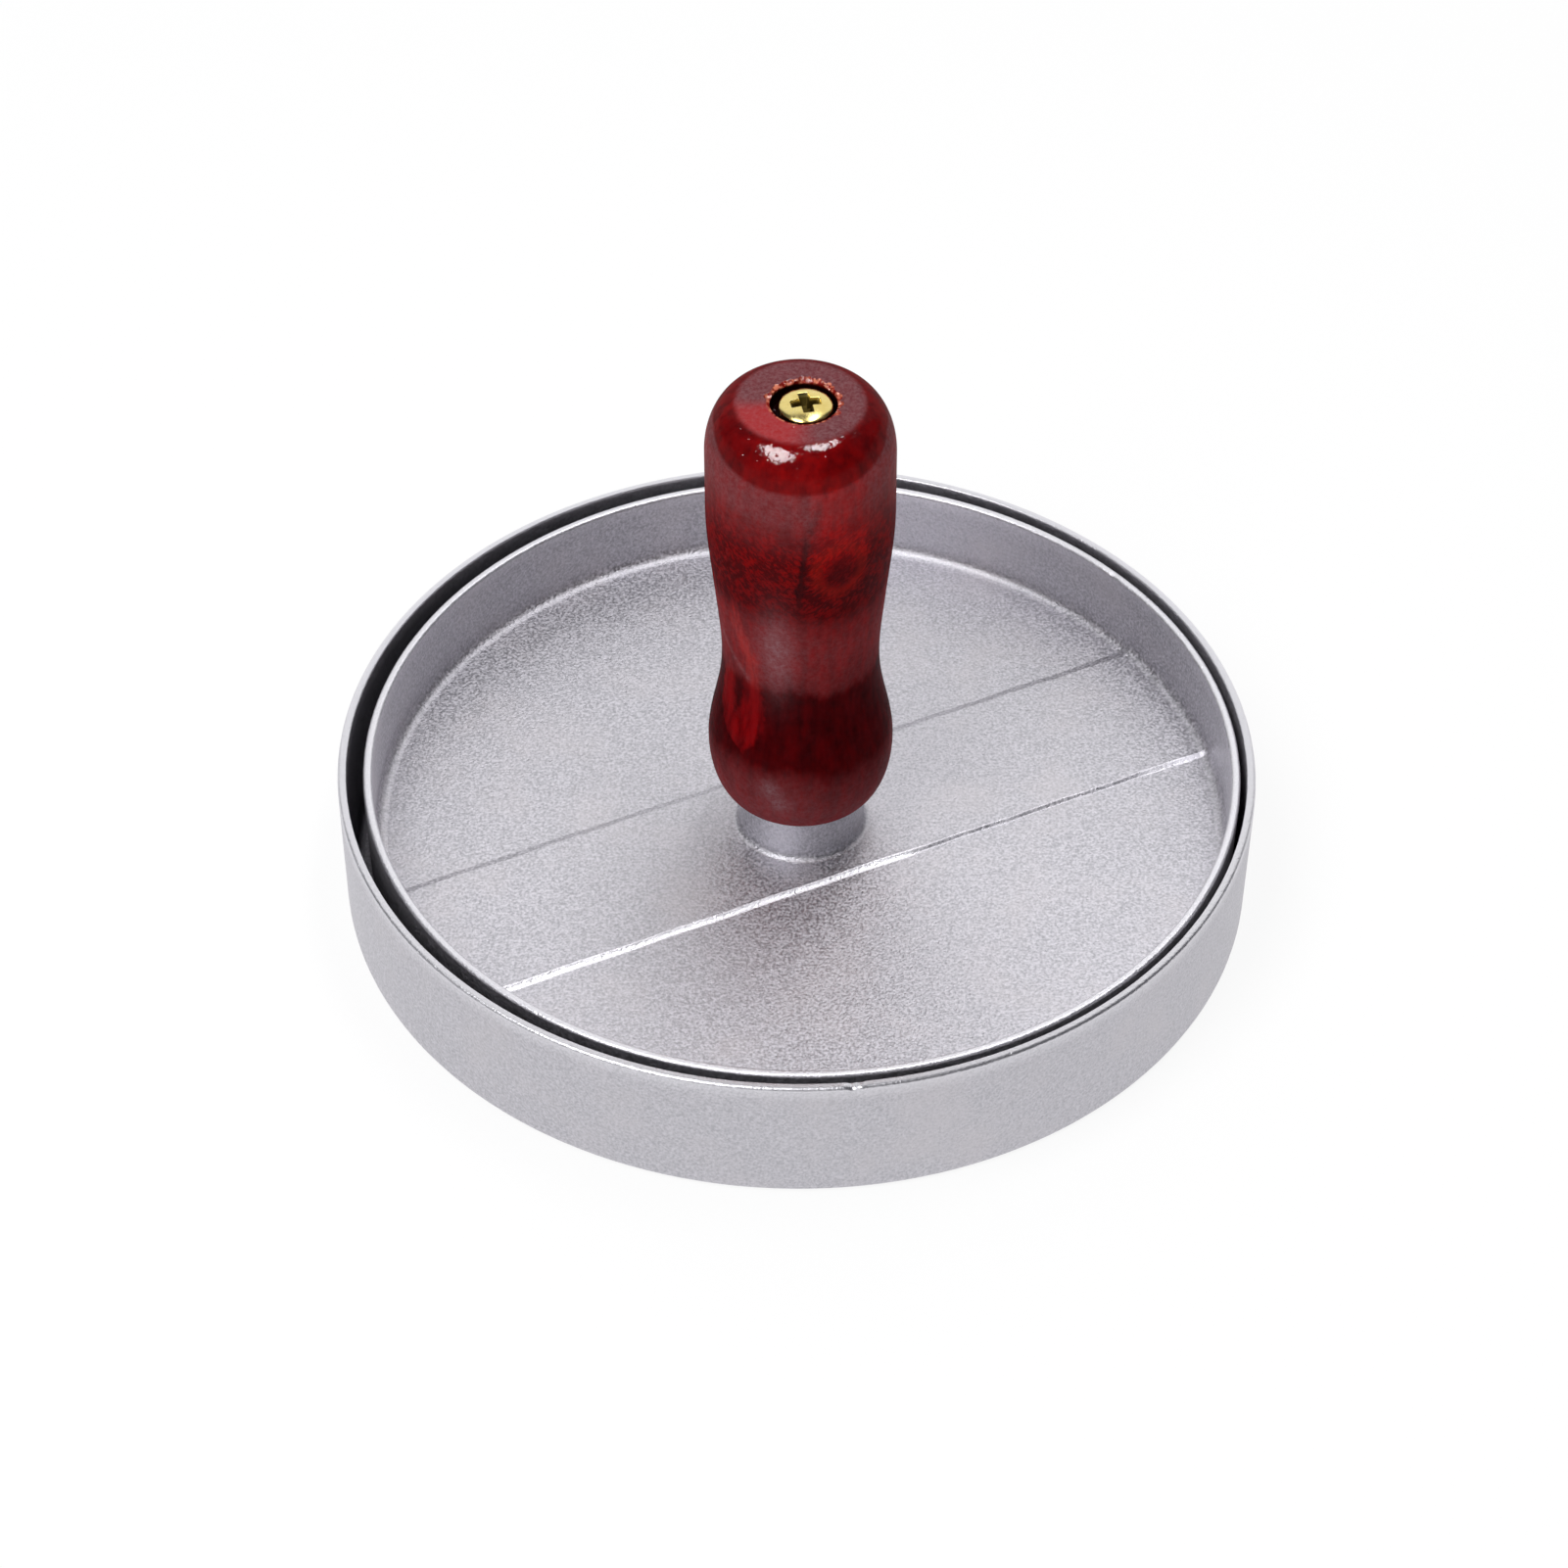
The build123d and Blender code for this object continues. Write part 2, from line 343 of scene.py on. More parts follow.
def ridge_height(x, y, reach):
    """Height of the ridges along X over a floor that they fill out to a radius.

    Across, it is the rise times an eased slope from the root to the flat top of the nearest ridge.
    Along, it fades where the ridge's root would leave the circle.
    """
    side = ridges_beside_middle(reach)
    middle = np.clip(np.round(y / RIDGE_PITCH), -side, side) * RIDGE_PITCH
    half_length = np.sqrt(reach**2 - (np.abs(middle) + RIDGE_ROOT_HALF) ** 2)
    run = RIDGE_ROOT_HALF - RIDGE_TOP_HALF + 2 * RIDGE_SOFT
    slope = ease((RIDGE_ROOT_HALF + RIDGE_SOFT - np.abs(y - middle)) / run)
    return RIDGE_RISE * slope * ease((half_length - np.abs(x)) / RIDGE_END)


def ridge_lines(reach):
    """Row places that catch each ridge's roots, slopes and top edges."""
    side = ridges_beside_middle(reach)
    middles = np.arange(-side, side + 1) * RIDGE_PITCH
    offsets = np.array([0, 0.6, 0.78, 0.93, 1.07, 1.22, 1.4])
    return (middles[:, None] + np.concatenate([-offsets[:0:-1], offsets])).ravel()


COARSE_ROWS = np.radians(np.linspace(-90, 90, 81))
print("ridges", RIDGE_RISE, "mm high and", RIDGE_PITCH, "mm apart")


# %% [markdown]
# ## The dish
#
# The dish is the mould: a thin drafted wall on a flat floor. Its rim is a narrow land with both
# edges broken. Tumbling rubs such edges brighter than the flat faces, which a point attribute
# tells the material. The walls in the narrow gap between dish and plate are darkened with painted
# shade, and the dish's outer wall is a little darker in tone; one more attribute carries both. A
# small dent in the rim's front, with the metal it pushed aside, is the kind of mark that soft
# aluminium picks up.

# %% Rim details
RUBBED_DEPTH = 0.9
DENTED_DEPTH = 1.2


def bump_at(angles, degrees, width):
    """A bell round one angle of the ring: 1 at its middle, about 0 at twice its width away."""
    away = (np.degrees(angles) - degrees + 180) % 360 - 180
    return np.exp(-((away / width) ** 2))


def rim_share(profile, top, depth):
    """How much each profile point belongs to the rim: 1 at its top, 0 at a depth below it."""
    return ease(1 - (top - profile[:, 1]) / depth)


def dented(profile, top, angles, dents):
    """The wall's rings with dents pressed into the rim: (degrees, width, sink, push out) rows."""
    wall = carried_round(profile, angles)
    share = rim_share(profile, top, DENTED_DEPTH)[:, None]
    for degrees, width, sink, push in dents:
        bell = share * bump_at(angles, degrees, width)
        wall[..., 2] -= sink * bell
        wall[..., 0] += push * bell * np.cos(angles)
        wall[..., 1] += push * bell * np.sin(angles)
    return wall


# %% Dish
# Painted shade on the dish's inner wall in the gap, deeper below the rim; a darker tone outside.
PAINTED_GAP_SHADE = 0.8
PAINTED_GAP_SHADE_DEPTH = 3.0
DISH_DARKER_TONE = 0.15
DENT_FROM, DENT_TO = -85.5, -80.5
DISH_DENTS = [(-83.0, 0.55, 0.34, -0.12), (-81.9, 0.4, 0.0, 0.16)]

dish_reach = DISH_FLOOR_R - DISH_FILLET - RIDGE_MARGIN
dent_rows = np.radians(np.linspace(DENT_FROM, DENT_TO, 26))
dish_rows = floor_rows(
    ridge_lines(dish_reach), DISH_FLOOR_R - DISH_FILLET, np.concatenate([COARSE_ROWS, dent_rows])
)
dish_angles = ring_angles(dish_rows)
dish_profile = pan_profile(
    (DISH_FLOOR_R, DISH_FLOOR, DISH_FILLET),
    (DISH_MOUTH_R, DISH_TOP, 0.22),
    (DISH_RIM_R, DISH_TOP, 0.5),
    (DISH_FOOT_R, 0, 1.0),
)
dish_polish = rim_share(dish_profile, DISH_TOP, RUBBED_DEPTH)
dish_in_gap = (dish_profile[:, 0] < DISH_MOUTH_R + 0.3) & (dish_profile[:, 1] > 0.5)
dish_painted_gap_shade = PAINTED_GAP_SHADE * ease((DISH_TOP - dish_profile[:, 1]) / PAINTED_GAP_SHADE_DEPTH)
print("dish rows", len(dish_rows), "ring", len(dish_angles), "profile", len(dish_profile))
dish = round_casting(
    "mould_dish_casting",
    dish_rows,
    dented(dish_profile, DISH_TOP, dish_angles, DISH_DENTS),
    lambda x, y: DISH_FLOOR + ridge_height(x, y, dish_reach),
    lambda x, y: 0 * x,
    dish_polish,
    np.where(dish_in_gap, dish_painted_gap_shade, DISH_DARKER_TONE) * (1 - dish_polish),
)
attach(dish, "mould")
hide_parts("mould_dish")


# %% [markdown]
# ## The press plate
#
# The plate is a second pan, a little smaller, with its ridges below. On its floor a low band runs
# from wall to wall through the boss. Its edges are soft steps, and the fillet along the wall rides
# up over the band at both ends. The near edge is a wide slope that catches the overhead light,
# except for a stretch where hand finishing left it narrow and a little wavy. Along the near edge
# the metal is smoother and painted brighter, a painted highlight that fades on the narrow stretch.

# %% The band's edges
BAND_SLOPE = 0.85
FAR_SLOPE = 1.2
NARROW_SLOPE = 0.5
NARROW_START = 9.0
NARROW_END = 45.0
NARROW_FADE = 4
LIP_RISE = 0.06
LIP_HALF = 0.2
RUB_HALF = 0.4


def narrow_share(x):
    """Share of the near edge's narrow stretch: 0 before it, 1 along it and a half after it."""
    end = ease((x - NARROW_END) / NARROW_FADE)
    return ease((x - NARROW_START) / NARROW_FADE) * (1 - 0.5 * end)


def slope_width(x, y):
    """Width of the band's edge: wide, but narrow on a stretch of the near side."""
    near = BAND_SLOPE + (NARROW_SLOPE - BAND_SLOPE) * narrow_share(x)
    return np.where(y < BAND_MIDDLE, near, FAR_SLOPE)


def edge_wave(x):
    """Sideways wave of the band's edge, in millimetres: two sines that never repeat together."""
    return 0.07 * np.sin(x / 2.3) + 0.05 * np.sin(x / 0.9 + 1) * ease((x - NARROW_START) / 6)


def band_height(x, y):
    """Height of the raised band along X: an eased step at each edge, with a low lip on the near."""
    away = np.abs(y - BAND_MIDDLE) + edge_wave(x)
    width = slope_width(x, y)
    lip = np.exp(-(((away - BAND_HALF + width / 2) / LIP_HALF) ** 2)) * (y < BAND_MIDDLE)
    up = (BAND_HALF - away) / width + 0.5
    step = 0.25 * ease(up) + 0.75 * np.clip(up, 0, 1)
    return BAND_RISE * step + LIP_RISE * lip * (1 - narrow_share(x))


print("band", BAND_RISE, "mm high, its near edge", BAND_SLOPE, "or", NARROW_SLOPE, "mm wide")


# %% Plate rows and wall
PLATE_DENTS = [
    (41.8 - PLATE_TURN_DEGREES, 0.7, 0.12, 0.10),
    (22.5 - PLATE_TURN_DEGREES, 0.6, 0.14, 0.08),
]
INNER_POINTS = 10
BAND_FADE = 3

plate_reach = PLATE_BASE_R - PLATE_EDGE - RIDGE_MARGIN
plate_floor_r = PLATE_FLOOR_R - PLATE_FILLET
ridges_on_floor = ridge_lines(plate_reach) * plate_floor_r / (PLATE_BASE_R - 2 * PLATE_EDGE)
edge_spread = BAND_HALF + np.linspace(-0.9, 0.9, 19)
plate_rows = floor_rows(
    np.concatenate([ridges_on_floor, BAND_MIDDLE - edge_spread, BAND_MIDDLE + edge_spread]),
    plate_floor_r,
    COARSE_ROWS,
)
plate_angles = ring_angles(plate_rows)
plate_profile = pan_profile(
    (PLATE_FLOOR_R, PLATE_FLOOR, PLATE_FILLET),
    (PLATE_MOUTH_R, PLATE_TOP, 0.45),
    (PLATE_RIM_R, PLATE_TOP, 0.45),
    (PLATE_BASE_R, PLATE_UNDERSIDE, PLATE_EDGE),
)
plate_wall = dented(plate_profile, PLATE_TOP, plate_angles, PLATE_DENTS)
lift = band_height(plate_wall[0, :, 0], plate_wall[0, :, 1])
fade = 1 - ease((plate_profile[:, 1] - PLATE_FLOOR) / BAND_FADE)
fade[INNER_POINTS:] = 0
plate_wall[..., 2] += fade[:, None] * lift
print("plate rows", len(plate_rows), "ring", len(plate_angles), "profile", len(plate_profile))


# %% Plate
def own_frame(x, y):
    """The plate's own x and y from those of the press."""
    c, s = math.cos(-PLATE_TURN), math.sin(-PLATE_TURN)
    x, y = x - PLATE_MIDDLE[0], y - PLATE_MIDDLE[1]
    return c * x - s * y, s * x + c * y


def edge_rub_and_highlight(x, y):
    """Polish and painted highlight along the band's near edge, nearly none on its narrow stretch.
    """
    x, y = own_frame(x, y)
    away = BAND_MIDDLE - BAND_HALF - y + edge_wave(x)
    return (1 - 0.95 * narrow_share(x)) * np.exp(-((away / RUB_HALF) ** 2))


plate_polish = rim_share(plate_profile, PLATE_TOP, RUBBED_DEPTH)
# The plate's outer wall in the gap gets the same painted shade.
plate_in_gap = plate_profile[:, 0] > PLATE_MOUTH_R + 0.4
plate = round_casting(
    "press_plate_casting",
    plate_rows,
    placed_on_plate(plate_wall),
    lambda x, y: PLATE_FLOOR + band_height(*own_frame(x, y)),
    lambda x, y: PLATE_UNDERSIDE - ridge_height(*own_frame(x, y), plate_reach),
    0.75 * plate_polish,
    np.where(plate_in_gap, PAINTED_GAP_SHADE, 0) * (1 - plate_polish),
    rub_and_highlight=edge_rub_and_highlight,
    columns=(150, 50),
)
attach(plate, "plunger")
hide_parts("press_plate")

# %% [markdown]
# ## The boss
#
# The boss is the drafted stub that the grip stands on. It is turned from a profile that flares out
# at its foot until it is level with the band, as the die's rounding leaves it.

# %% Boss
BOSS_FOOT = 7.2
BOSS_FOOT_R = BOSS_TOP_R + BOSS_FOOT * PLATE_DRAFT
BOSS_FLARE = 1.6
BAND_TOP = PLATE_FLOOR + BAND_RISE
PILOT_R = 2.05
PILOT_FLOOR = 9.0
POLE_R = 0.4

boss_profile = rounded(
    [
        (POLE_R, BOSS_FOOT, 0),
        (BOSS_FOOT_R + BOSS_FLARE, BOSS_FOOT, 0),
        (BOSS_FOOT_R + BOSS_FLARE, BAND_TOP - 0.04, 0),
        (BOSS_FOOT_R, BAND_TOP, 1.2),
        (BOSS_TOP_R, BOSS_TOP, 0.4),
        (PILOT_R, BOSS_TOP, 0.1),
        (PILOT_R, PILOT_FLOOR, 0),
        (POLE_R, PILOT_FLOOR, 0),
    ],
    steps=8,
)
boss_angles = np.linspace(0, 2 * math.pi, 192, endpoint=False)
boss_rings = carried_round(divided(boss_profile, 1.5), boss_angles)
boss_rings[..., :2] += PLATE_MIDDLE
boss = round_skin("plate_boss", boss_rings, downward=False)
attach(boss, "plunger")

# %% [markdown]
# ## The grip
#
# The grip is turned from one blank: a bulge at each end, a waist for the fingers, a rounded
# shoulder and a flat top. Its counterbore was drilled before lacquering and the drill tore small
# chips from the edge.

# %% Grip
GRIP_FOOT = grip_low[2]
GRIP_TOP = grip_high[2]
GRIP_AXIS = ((grip_low + grip_high) / 2)[:2]
BULGE_R = 12.5
WAIST_R = 10.55
FOOT_R = 8.8
FOOT_RISE = 8.8
SHOULDER_R = 7.8
SHOULDER_RISE = 7.9
COUNTERBORE_R = 4.45
COUNTERBORE_FLOOR = GRIP_TOP - 2.2
MOUTH_DEPTH = 1.5
BORE_R = 2.3


def quarter(middle_r, middle_z, run, rise, start, steps=14):
    """A quarter of an ellipse: run times cosine and rise times sine of an angle in degrees."""
    a = np.radians(np.linspace(start, start + 90, steps))
    return np.stack([middle_r + run * np.cos(a), middle_z + rise * np.sin(a)], axis=-1)


def clamped_spline(z, r, at):
    """Cubic spline through (z, r) that is level at both ends, read at new heights.

    Its slopes are those for which the curvature doesn't jump at any knot.
    """
    n = len(z)
    h = np.diff(z)
    matrix = np.zeros((n, n))
    right = np.zeros(n)
    matrix[0, 0] = matrix[-1, -1] = 1
    for i in range(1, n - 1):
        matrix[i, i - 1 : i + 2] = [1 / h[i - 1], 2 / h[i - 1] + 2 / h[i], 1 / h[i]]
        right[i] = 3 * ((r[i] - r[i - 1]) / h[i - 1] ** 2 + (r[i + 1] - r[i]) / h[i] ** 2)
    slope = np.linalg.solve(matrix, right)
    i = np.clip(np.searchsorted(z, at) - 1, 0, n - 2)
    t = (at - z[i]) / h[i]
    return (
        (1 + 2 * t) * (1 - t) ** 2 * r[i]
        + t * (1 - t) ** 2 * h[i] * slope[i]
        + t * t * (3 - 2 * t) * r[i + 1]
        + t * t * (t - 1) * h[i] * slope[i + 1]
    )


# %% Grip profile
low_z, waist_z, high_z = GRIP_FOOT + FOOT_RISE, GRIP_FOOT + 25.3, GRIP_TOP - 17.3
# Rows of (height, share of the bulge) from the lower bulge over the waist to the upper one.
knots = [
    (low_z, 1),
    (waist_z + 0.40 * (low_z - waist_z), 0.21),
    (waist_z, 0),
    (waist_z + 0.27 * (high_z - waist_z), 0.245),
    (waist_z + 0.57 * (high_z - waist_z), 0.62),
    (high_z, 1),
]
knots_z, swell = np.transpose(knots)
waist_heights = np.linspace(low_z, high_z, 80)[1:-1]
waist_radii = clamped_spline(knots_z, WAIST_R + (BULGE_R - WAIST_R) * swell, waist_heights)
shoulder_z = GRIP_TOP - SHOULDER_RISE
foot_round = quarter(FOOT_R, low_z, BULGE_R - FOOT_R, FOOT_RISE, -90)
foot_round[0, 1] = GRIP_FOOT
side_line = np.stack([np.full(8, BULGE_R), np.linspace(high_z, shoulder_z, 9)[:-1]], axis=-1)
shoulder = quarter(SHOULDER_R, shoulder_z, BULGE_R - SHOULDER_R, SHOULDER_RISE, 0, 40)
top_radii = np.concatenate([[7.4, 7.0, 6.6, 6.3], np.arange(6.1, 4.75, -0.12)])
top_flat = np.stack([top_radii, np.full(len(top_radii), GRIP_TOP)], axis=-1)
mouth = rounded(
    [
        (4.8, GRIP_TOP, 0),
        (COUNTERBORE_R, GRIP_TOP, 0.18),
        (COUNTERBORE_R, GRIP_TOP - MOUTH_DEPTH, 0),
    ]
)
mouth = divided(mouth[1:], 0.15)
bore = rounded(
    [
        (COUNTERBORE_R, GRIP_TOP - MOUTH_DEPTH - 0.1, 0),
        (COUNTERBORE_R, COUNTERBORE_FLOOR, 0.2),
        (BORE_R, COUNTERBORE_FLOOR, 0.15),
        (BORE_R, GRIP_FOOT, 0.3),
        (FOOT_R - 1, GRIP_FOOT, 0),
    ]
)
bore = divided(bore, 4.0)
waist = np.stack([waist_radii, waist_heights], axis=-1)
grip_profile = np.concatenate([foot_round, waist, side_line, shoulder, top_flat, mouth, bore])
print("grip profile", len(grip_profile), "points")

# %% [markdown]
# A drill that enters stained wood tears chips out of the rim of its hole, most where it meets the
# grain end on. Each chip is a shallow bowl that is cut into the top face and the mouth's edge. The
# wood also shows bare there, which the attribute "bare" passes on. And no bench drill holds a
# turned blank quite true: the blank leans on its bore by half a degree, so its rings shift
# sideways with height while the bore stays on the screw's line.

# %% Chips and lean
CHIP_COUNT = 34
CHIP_SPREAD = 62.0
CHIP_SEED = 11
LEAN = 0.0085
LEAN_LEVEL = 24.5
LEAN_SHIFT = 0.21


def chip_depth(angle, radius):
    """Depth of torn wood: the deepest of many bowls centred on the mouth's edge."""
    rng = np.random.default_rng(CHIP_SEED)
    at = np.radians(90 + rng.normal(0, CHIP_SPREAD, CHIP_COUNT))[:, None, None]
    half = np.radians(rng.uniform(3, 11, CHIP_COUNT))[:, None, None]
    reach = rng.uniform(0.25, 0.95, CHIP_COUNT)[:, None, None]
    depth = rng.uniform(0.12, 0.55, CHIP_COUNT)[:, None, None]
    away = (angle[None] - at + math.pi) % (2 * math.pi) - math.pi
    bowl = 1 - (away / half) ** 2 - ((radius[None] - COUNTERBORE_R) / reach) ** 2
    return (depth * np.sqrt(np.clip(bowl, 0, 1))).max(axis=0)


def lean(height):
    """Sideways shift of the blank against its bore, growing with height, in millimetres."""
    return -LEAN_SHIFT - (height - LEAN_LEVEL) * LEAN


grip_angles = np.linspace(0, 2 * math.pi, 384, endpoint=False)
rings = carried_round(grip_profile, grip_angles)
ring_r = grip_profile[:, :1] + 0 * grip_angles
ring_z = rings[..., 2].copy()
ring_a = 0 * ring_r + grip_angles
outer_rows = len(grip_profile) - len(mouth) - len(bore)
row = np.arange(len(grip_profile))[:, None]
outside = row < outer_rows
in_mouth = (ring_z > GRIP_TOP - MOUTH_DEPTH - 0.05) & (ring_r < 6.2)
chips = np.where(in_mouth, chip_depth(ring_a, np.maximum(ring_r, COUNTERBORE_R)), 0)
rings[..., 2] = np.where(in_mouth, np.minimum(ring_z, GRIP_TOP - chips), ring_z)
# The outer skin leans in full, the top face less towards its mouth, and the bore not at all.
leaning = np.where(outside, 0.4 + 0.6 * ease((ring_r - 4.6) / 3.0), 0.4)
leaning = np.where(~outside & (ring_z < COUNTERBORE_FLOOR + 0.3), 0, leaning)
leaning = np.where(row < outer_rows - len(top_radii), 1, leaning)
rings[..., 0] += leaning * lean(ring_z) + GRIP_AXIS[0]
rings[..., 1] += GRIP_AXIS[1]

edge_noise = 0.5 + 0.5 * np.sin(9 * ring_a + 1) * np.sin(23 * ring_a + 2)
sliver = in_mouth * ease((4.95 - ring_r) / 0.25) * ease((ring_z - GRIP_TOP + 0.7) / 0.4)
bare = np.clip(chips / 0.06, 0, 1) + 0.8 * sliver * edge_noise
print("deepest chip", round(chips.max(), 2), "mm, shift at the top", round(lean(GRIP_TOP), 2), "mm")

# %% [markdown]
# Figure in the wood is drawn in the grip's own unrolled coordinates: the angle from the front, in
# degrees, and the height. A dark gum line runs down the front. On both sides of it the fibres dip
# towards it, which gives a curly V figure. A small knot sits to its right, and a pale tongue of
# sapwood that took the stain brightly lies to its left. Each is stored as a smooth distance, so
# that the material can fray it with noise.

# %% Gum line, knot and tongue of sapwood
MM_PER_DEGREE = math.radians(1) * BULGE_R
# Rows of (height, angle, share of its full darkness) down the gum line.
GUM_LINE = [
    (54.0, -1, 0.0), (57.5, 0, 0.7), (60.3, 0, 1.0), (61.3, 1, 1.0), (64.9, 2, 0.9),
    (68.9, 4, 0.6), (71.8, 8, 0.5), (74.3, 12, 0.4), (77.3, 16, 0.3), (80.5, 19, 0.0),
]
KNOT_ANGLE, KNOT_HEIGHT = 25.0, 63.2
# Rows of (height, left edge, right edge) of the tongue, and its dark core as an oval.
TONGUE = [
    (29.0, -42, -40), (30.2, -56, -34), (32.0, -66, -29), (34.0, -72, -25), (37.0, -74, -26),
    (40.0, -70, -29), (42.0, -62, -30), (44.5, -43, -30), (47.0, -47, -33), (50.0, -55, -40),
    (52.6, -56, -43), (55.0, -49, -47),
]
TONGUE_CORE = (-51, 39.2, 4.2, 3.6)

front = (np.degrees(ring_a) + 90 + 180) % 360 - 180
line_heights, line_angles, line_shares = np.transpose(GUM_LINE)
from_line = (front - np.interp(ring_z, line_heights, line_angles)) * MM_PER_DEGREE
line_width = 0.5 * np.exp(-(((ring_z - 60.3) / 1.1) ** 2))
tongue_heights, tongue_left, tongue_right = np.transpose(TONGUE)
in_tongue = np.minimum(
    front - np.interp(ring_z, tongue_heights, tongue_left),
    np.interp(ring_z, tongue_heights, tongue_right) - front,
) * MM_PER_DEGREE
core_gap = np.hypot(
    (front - TONGUE_CORE[0]) / TONGUE_CORE[2], (ring_z - TONGUE_CORE[1]) / TONGUE_CORE[3]
)
in_tongue = np.minimum(in_tongue, (core_gap - 1) * 0.8)
beyond_tongue = ~outside | (ring_z > tongue_heights[-1]) | (ring_z < 28)
figure = {
    "bare": np.clip(bare, 0, 1),
    "line_share": np.interp(ring_z, line_heights, line_shares),
    "from_line": np.maximum(np.abs(from_line) - line_width, 0),
    "curl_across": ring_z - 0.9 * np.abs(from_line),
    "curl_along": from_line + 0.9 * np.sign(from_line) * ring_z,
    "curl_share": np.exp(-(((ring_z - 61.5) / 8.5) ** 4)) * ease((100 - np.abs(front)) / 50),
    "from_knot": np.hypot((front - KNOT_ANGLE) * MM_PER_DEGREE, (ring_z - KNOT_HEIGHT) * 0.85),
    "in_tongue": np.where(beyond_tongue, -3, in_tongue),
    # Painted shade inside the counterbore, from just below the top face down.
    "painted_hole_shade": np.where(outside, 0, ease((GRIP_TOP - 0.25 - ring_z) / 0.5)),
}
print("knot", KNOT_ANGLE, "degrees right of the front, tongue", TONGUE[0][0], "to", TONGUE[-1][0])

# %% [markdown]
# Two more things change with height, and both are painted light. One share paints light and shade
# into the stain: a dark belt just below the waist, lighter belts just above it and over the lower
# bulge, a lighter patch right of the front high up, and darker sides to the shoulder. The other
# paints the lacquer's reflections of the room in a pale mauve: in belts, in spots, along one run
# and on top. Both are tables of heights with straight runs between them. The belts climb towards
# the sides of the shoulder, and below it they sway a little.

# %% Painted light, shade and reflection
# Rows of (height, share): of the painted light's full brightness, and of painted reflection.
PAINTED_LIGHT_AND_SHADE = [
    (15.9, 0.9), (20.0, 0.75), (25.0, 0.4), (28.4, 0.06), (33.0, 0.03), (39.4, 0.03), (41.2, 0.4),
    (45.0, 0.7), (52.0, 0.6), (54.5, 0.32), (60.0, 0.34), (66.0, 0.5), (76.0, 0.62), (81.8, 0.5),
]
PAINTED_REFLECTION = [
    (15.9, 0.17), (20.0, 0.15), (25.0, 0.08), (28.0, 0), (39.8, 0), (41.4, 0.07), (49.0, 0.1),
    (53.0, 0.05), (55.5, 0), (65.0, 0), (70.0, 0.07), (72.0, 0.15), (76.0, 0.15), (76.5, 0.01),
]
BELT_CLIMB = 2.6
# Rows of (angle, height, half width, half height, share) of spots of painted reflection.
SPOTS = [(-16, 48.2, 2.4, 6.5, 0.28), (-19, 24.5, 1.4, 1.4, 0.25), (-13, 22.0, 1.4, 1.2, 0.25)]
# The ends of a run of painted reflection, as (angle, height).
RUN_START, RUN_END = np.array([(-70, 46.0), (-41, 41.2)])
RUN_HALF = 0.7
RUN_REFLECTION = 0.11
TOP_FACE_R = 8.4
TOP_FACE_REFLECTION = 0.22
WEDGE_REFLECTION = 0.14

top_face = ease((TOP_FACE_R + 0.5 - ring_r) / 1.0) * (ring_z > GRIP_TOP - 3)
# A wedge at the front left of the top face gets painted light: redder, with less painted
# reflection.
wedge = top_face * ease((front + 100) / 30) * ease((24 - front) / 44)
# A patch right of the front, from 62 mm up, gets painted light and less painted reflection.
painted_light_right = ease((front - 4) / 12) * ease((52 - front) / 16) * ease((ring_z - 62) / 5)
sway = 0.5 * np.sin(3 * ring_a + 1) + 0.3 * np.sin(8 * ring_a + 2) + 0.2 * np.sin(21 * ring_a)
sway += 0.12 * np.sin(37 * ring_a + 2 * ring_z) + 0.12 * np.sin(59 * ring_a - 3 * ring_z)
climb = BELT_CLIMB * np.minimum((front / 75) ** 2, 1.1) * ease((ring_z - 68) / 6)
climb = climb + sway * ease((60 - ring_z) / 6)
haze = np.interp(ring_z - climb, *np.transpose(PAINTED_REFLECTION)) * (1 - 0.45 * painted_light_right)
for spot_angle, spot_z, half_width, half_height, spot_reflection in SPOTS:
    spot_x = (front - spot_angle) * MM_PER_DEGREE / half_width
    haze += spot_reflection * np.exp(-(spot_x**2) - ((ring_z - spot_z) / half_height) ** 2)
run_share = np.clip((front - RUN_START[0]) / (RUN_END[0] - RUN_START[0]), 0, 1)
run_away = np.hypot(
    (front - RUN_START[0] - run_share * (RUN_END[0] - RUN_START[0])) * MM_PER_DEGREE,
    ring_z - RUN_START[1] - run_share * (RUN_END[1] - RUN_START[1]),
)
haze += RUN_REFLECTION * np.exp(-((run_away / RUN_HALF) ** 2))
# The top face takes its own painted reflection of the room, less of it on the lit wedge.
haze += top_face * (TOP_FACE_REFLECTION + (WEDGE_REFLECTION - TOP_FACE_REFLECTION) * wedge - haze)
# Painted light and shade: lighter right of the front high up, darker at the shoulder's sides and on
# top.
dye = np.interp(ring_z - climb, *np.transpose(PAINTED_LIGHT_AND_SHADE)) + 0.8 * painted_light_right * (ring_z - climb < 76.2)
dye -= 0.3 * ease((np.abs(front) - 12) / 40) * ease((ring_z - 76.5) / 1.5) * (1 - top_face)
figure["dye"] = dye * (1 - 0.6 * top_face)
figure["haze"] = np.where(outside, haze, 0)
figure["wedge"] = np.where(outside, wedge, 0)
figure = {mark: values.ravel() for mark, values in figure.items()}
print("haze up to", round(figure["haze"].max(), 2), "and dye up to", round(figure["dye"].max(), 2))

grip_index = index_grid(rings)
grip_index = np.concatenate([grip_index, grip_index[:1]])
grip = new_piece(
    "grip_turned_wood", rings.reshape(-1, 3), [ring_quads(grip_index)[:, ::-1]], figure
)
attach(grip, "plunger")
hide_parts("handle")

# %% [markdown]
# ## The screw
#
# A pan-head screw holds the grip. Its head is a low dome with a cross recess whose walls slope in
# towards the middle, and its shank carries a rolled thread. The head's top is a round grid that is
# fine over the recess, whose corners the plating rounds off. The thread is one more ripple of the
# same rings: a tooth whose height along the shank turns with the angle.

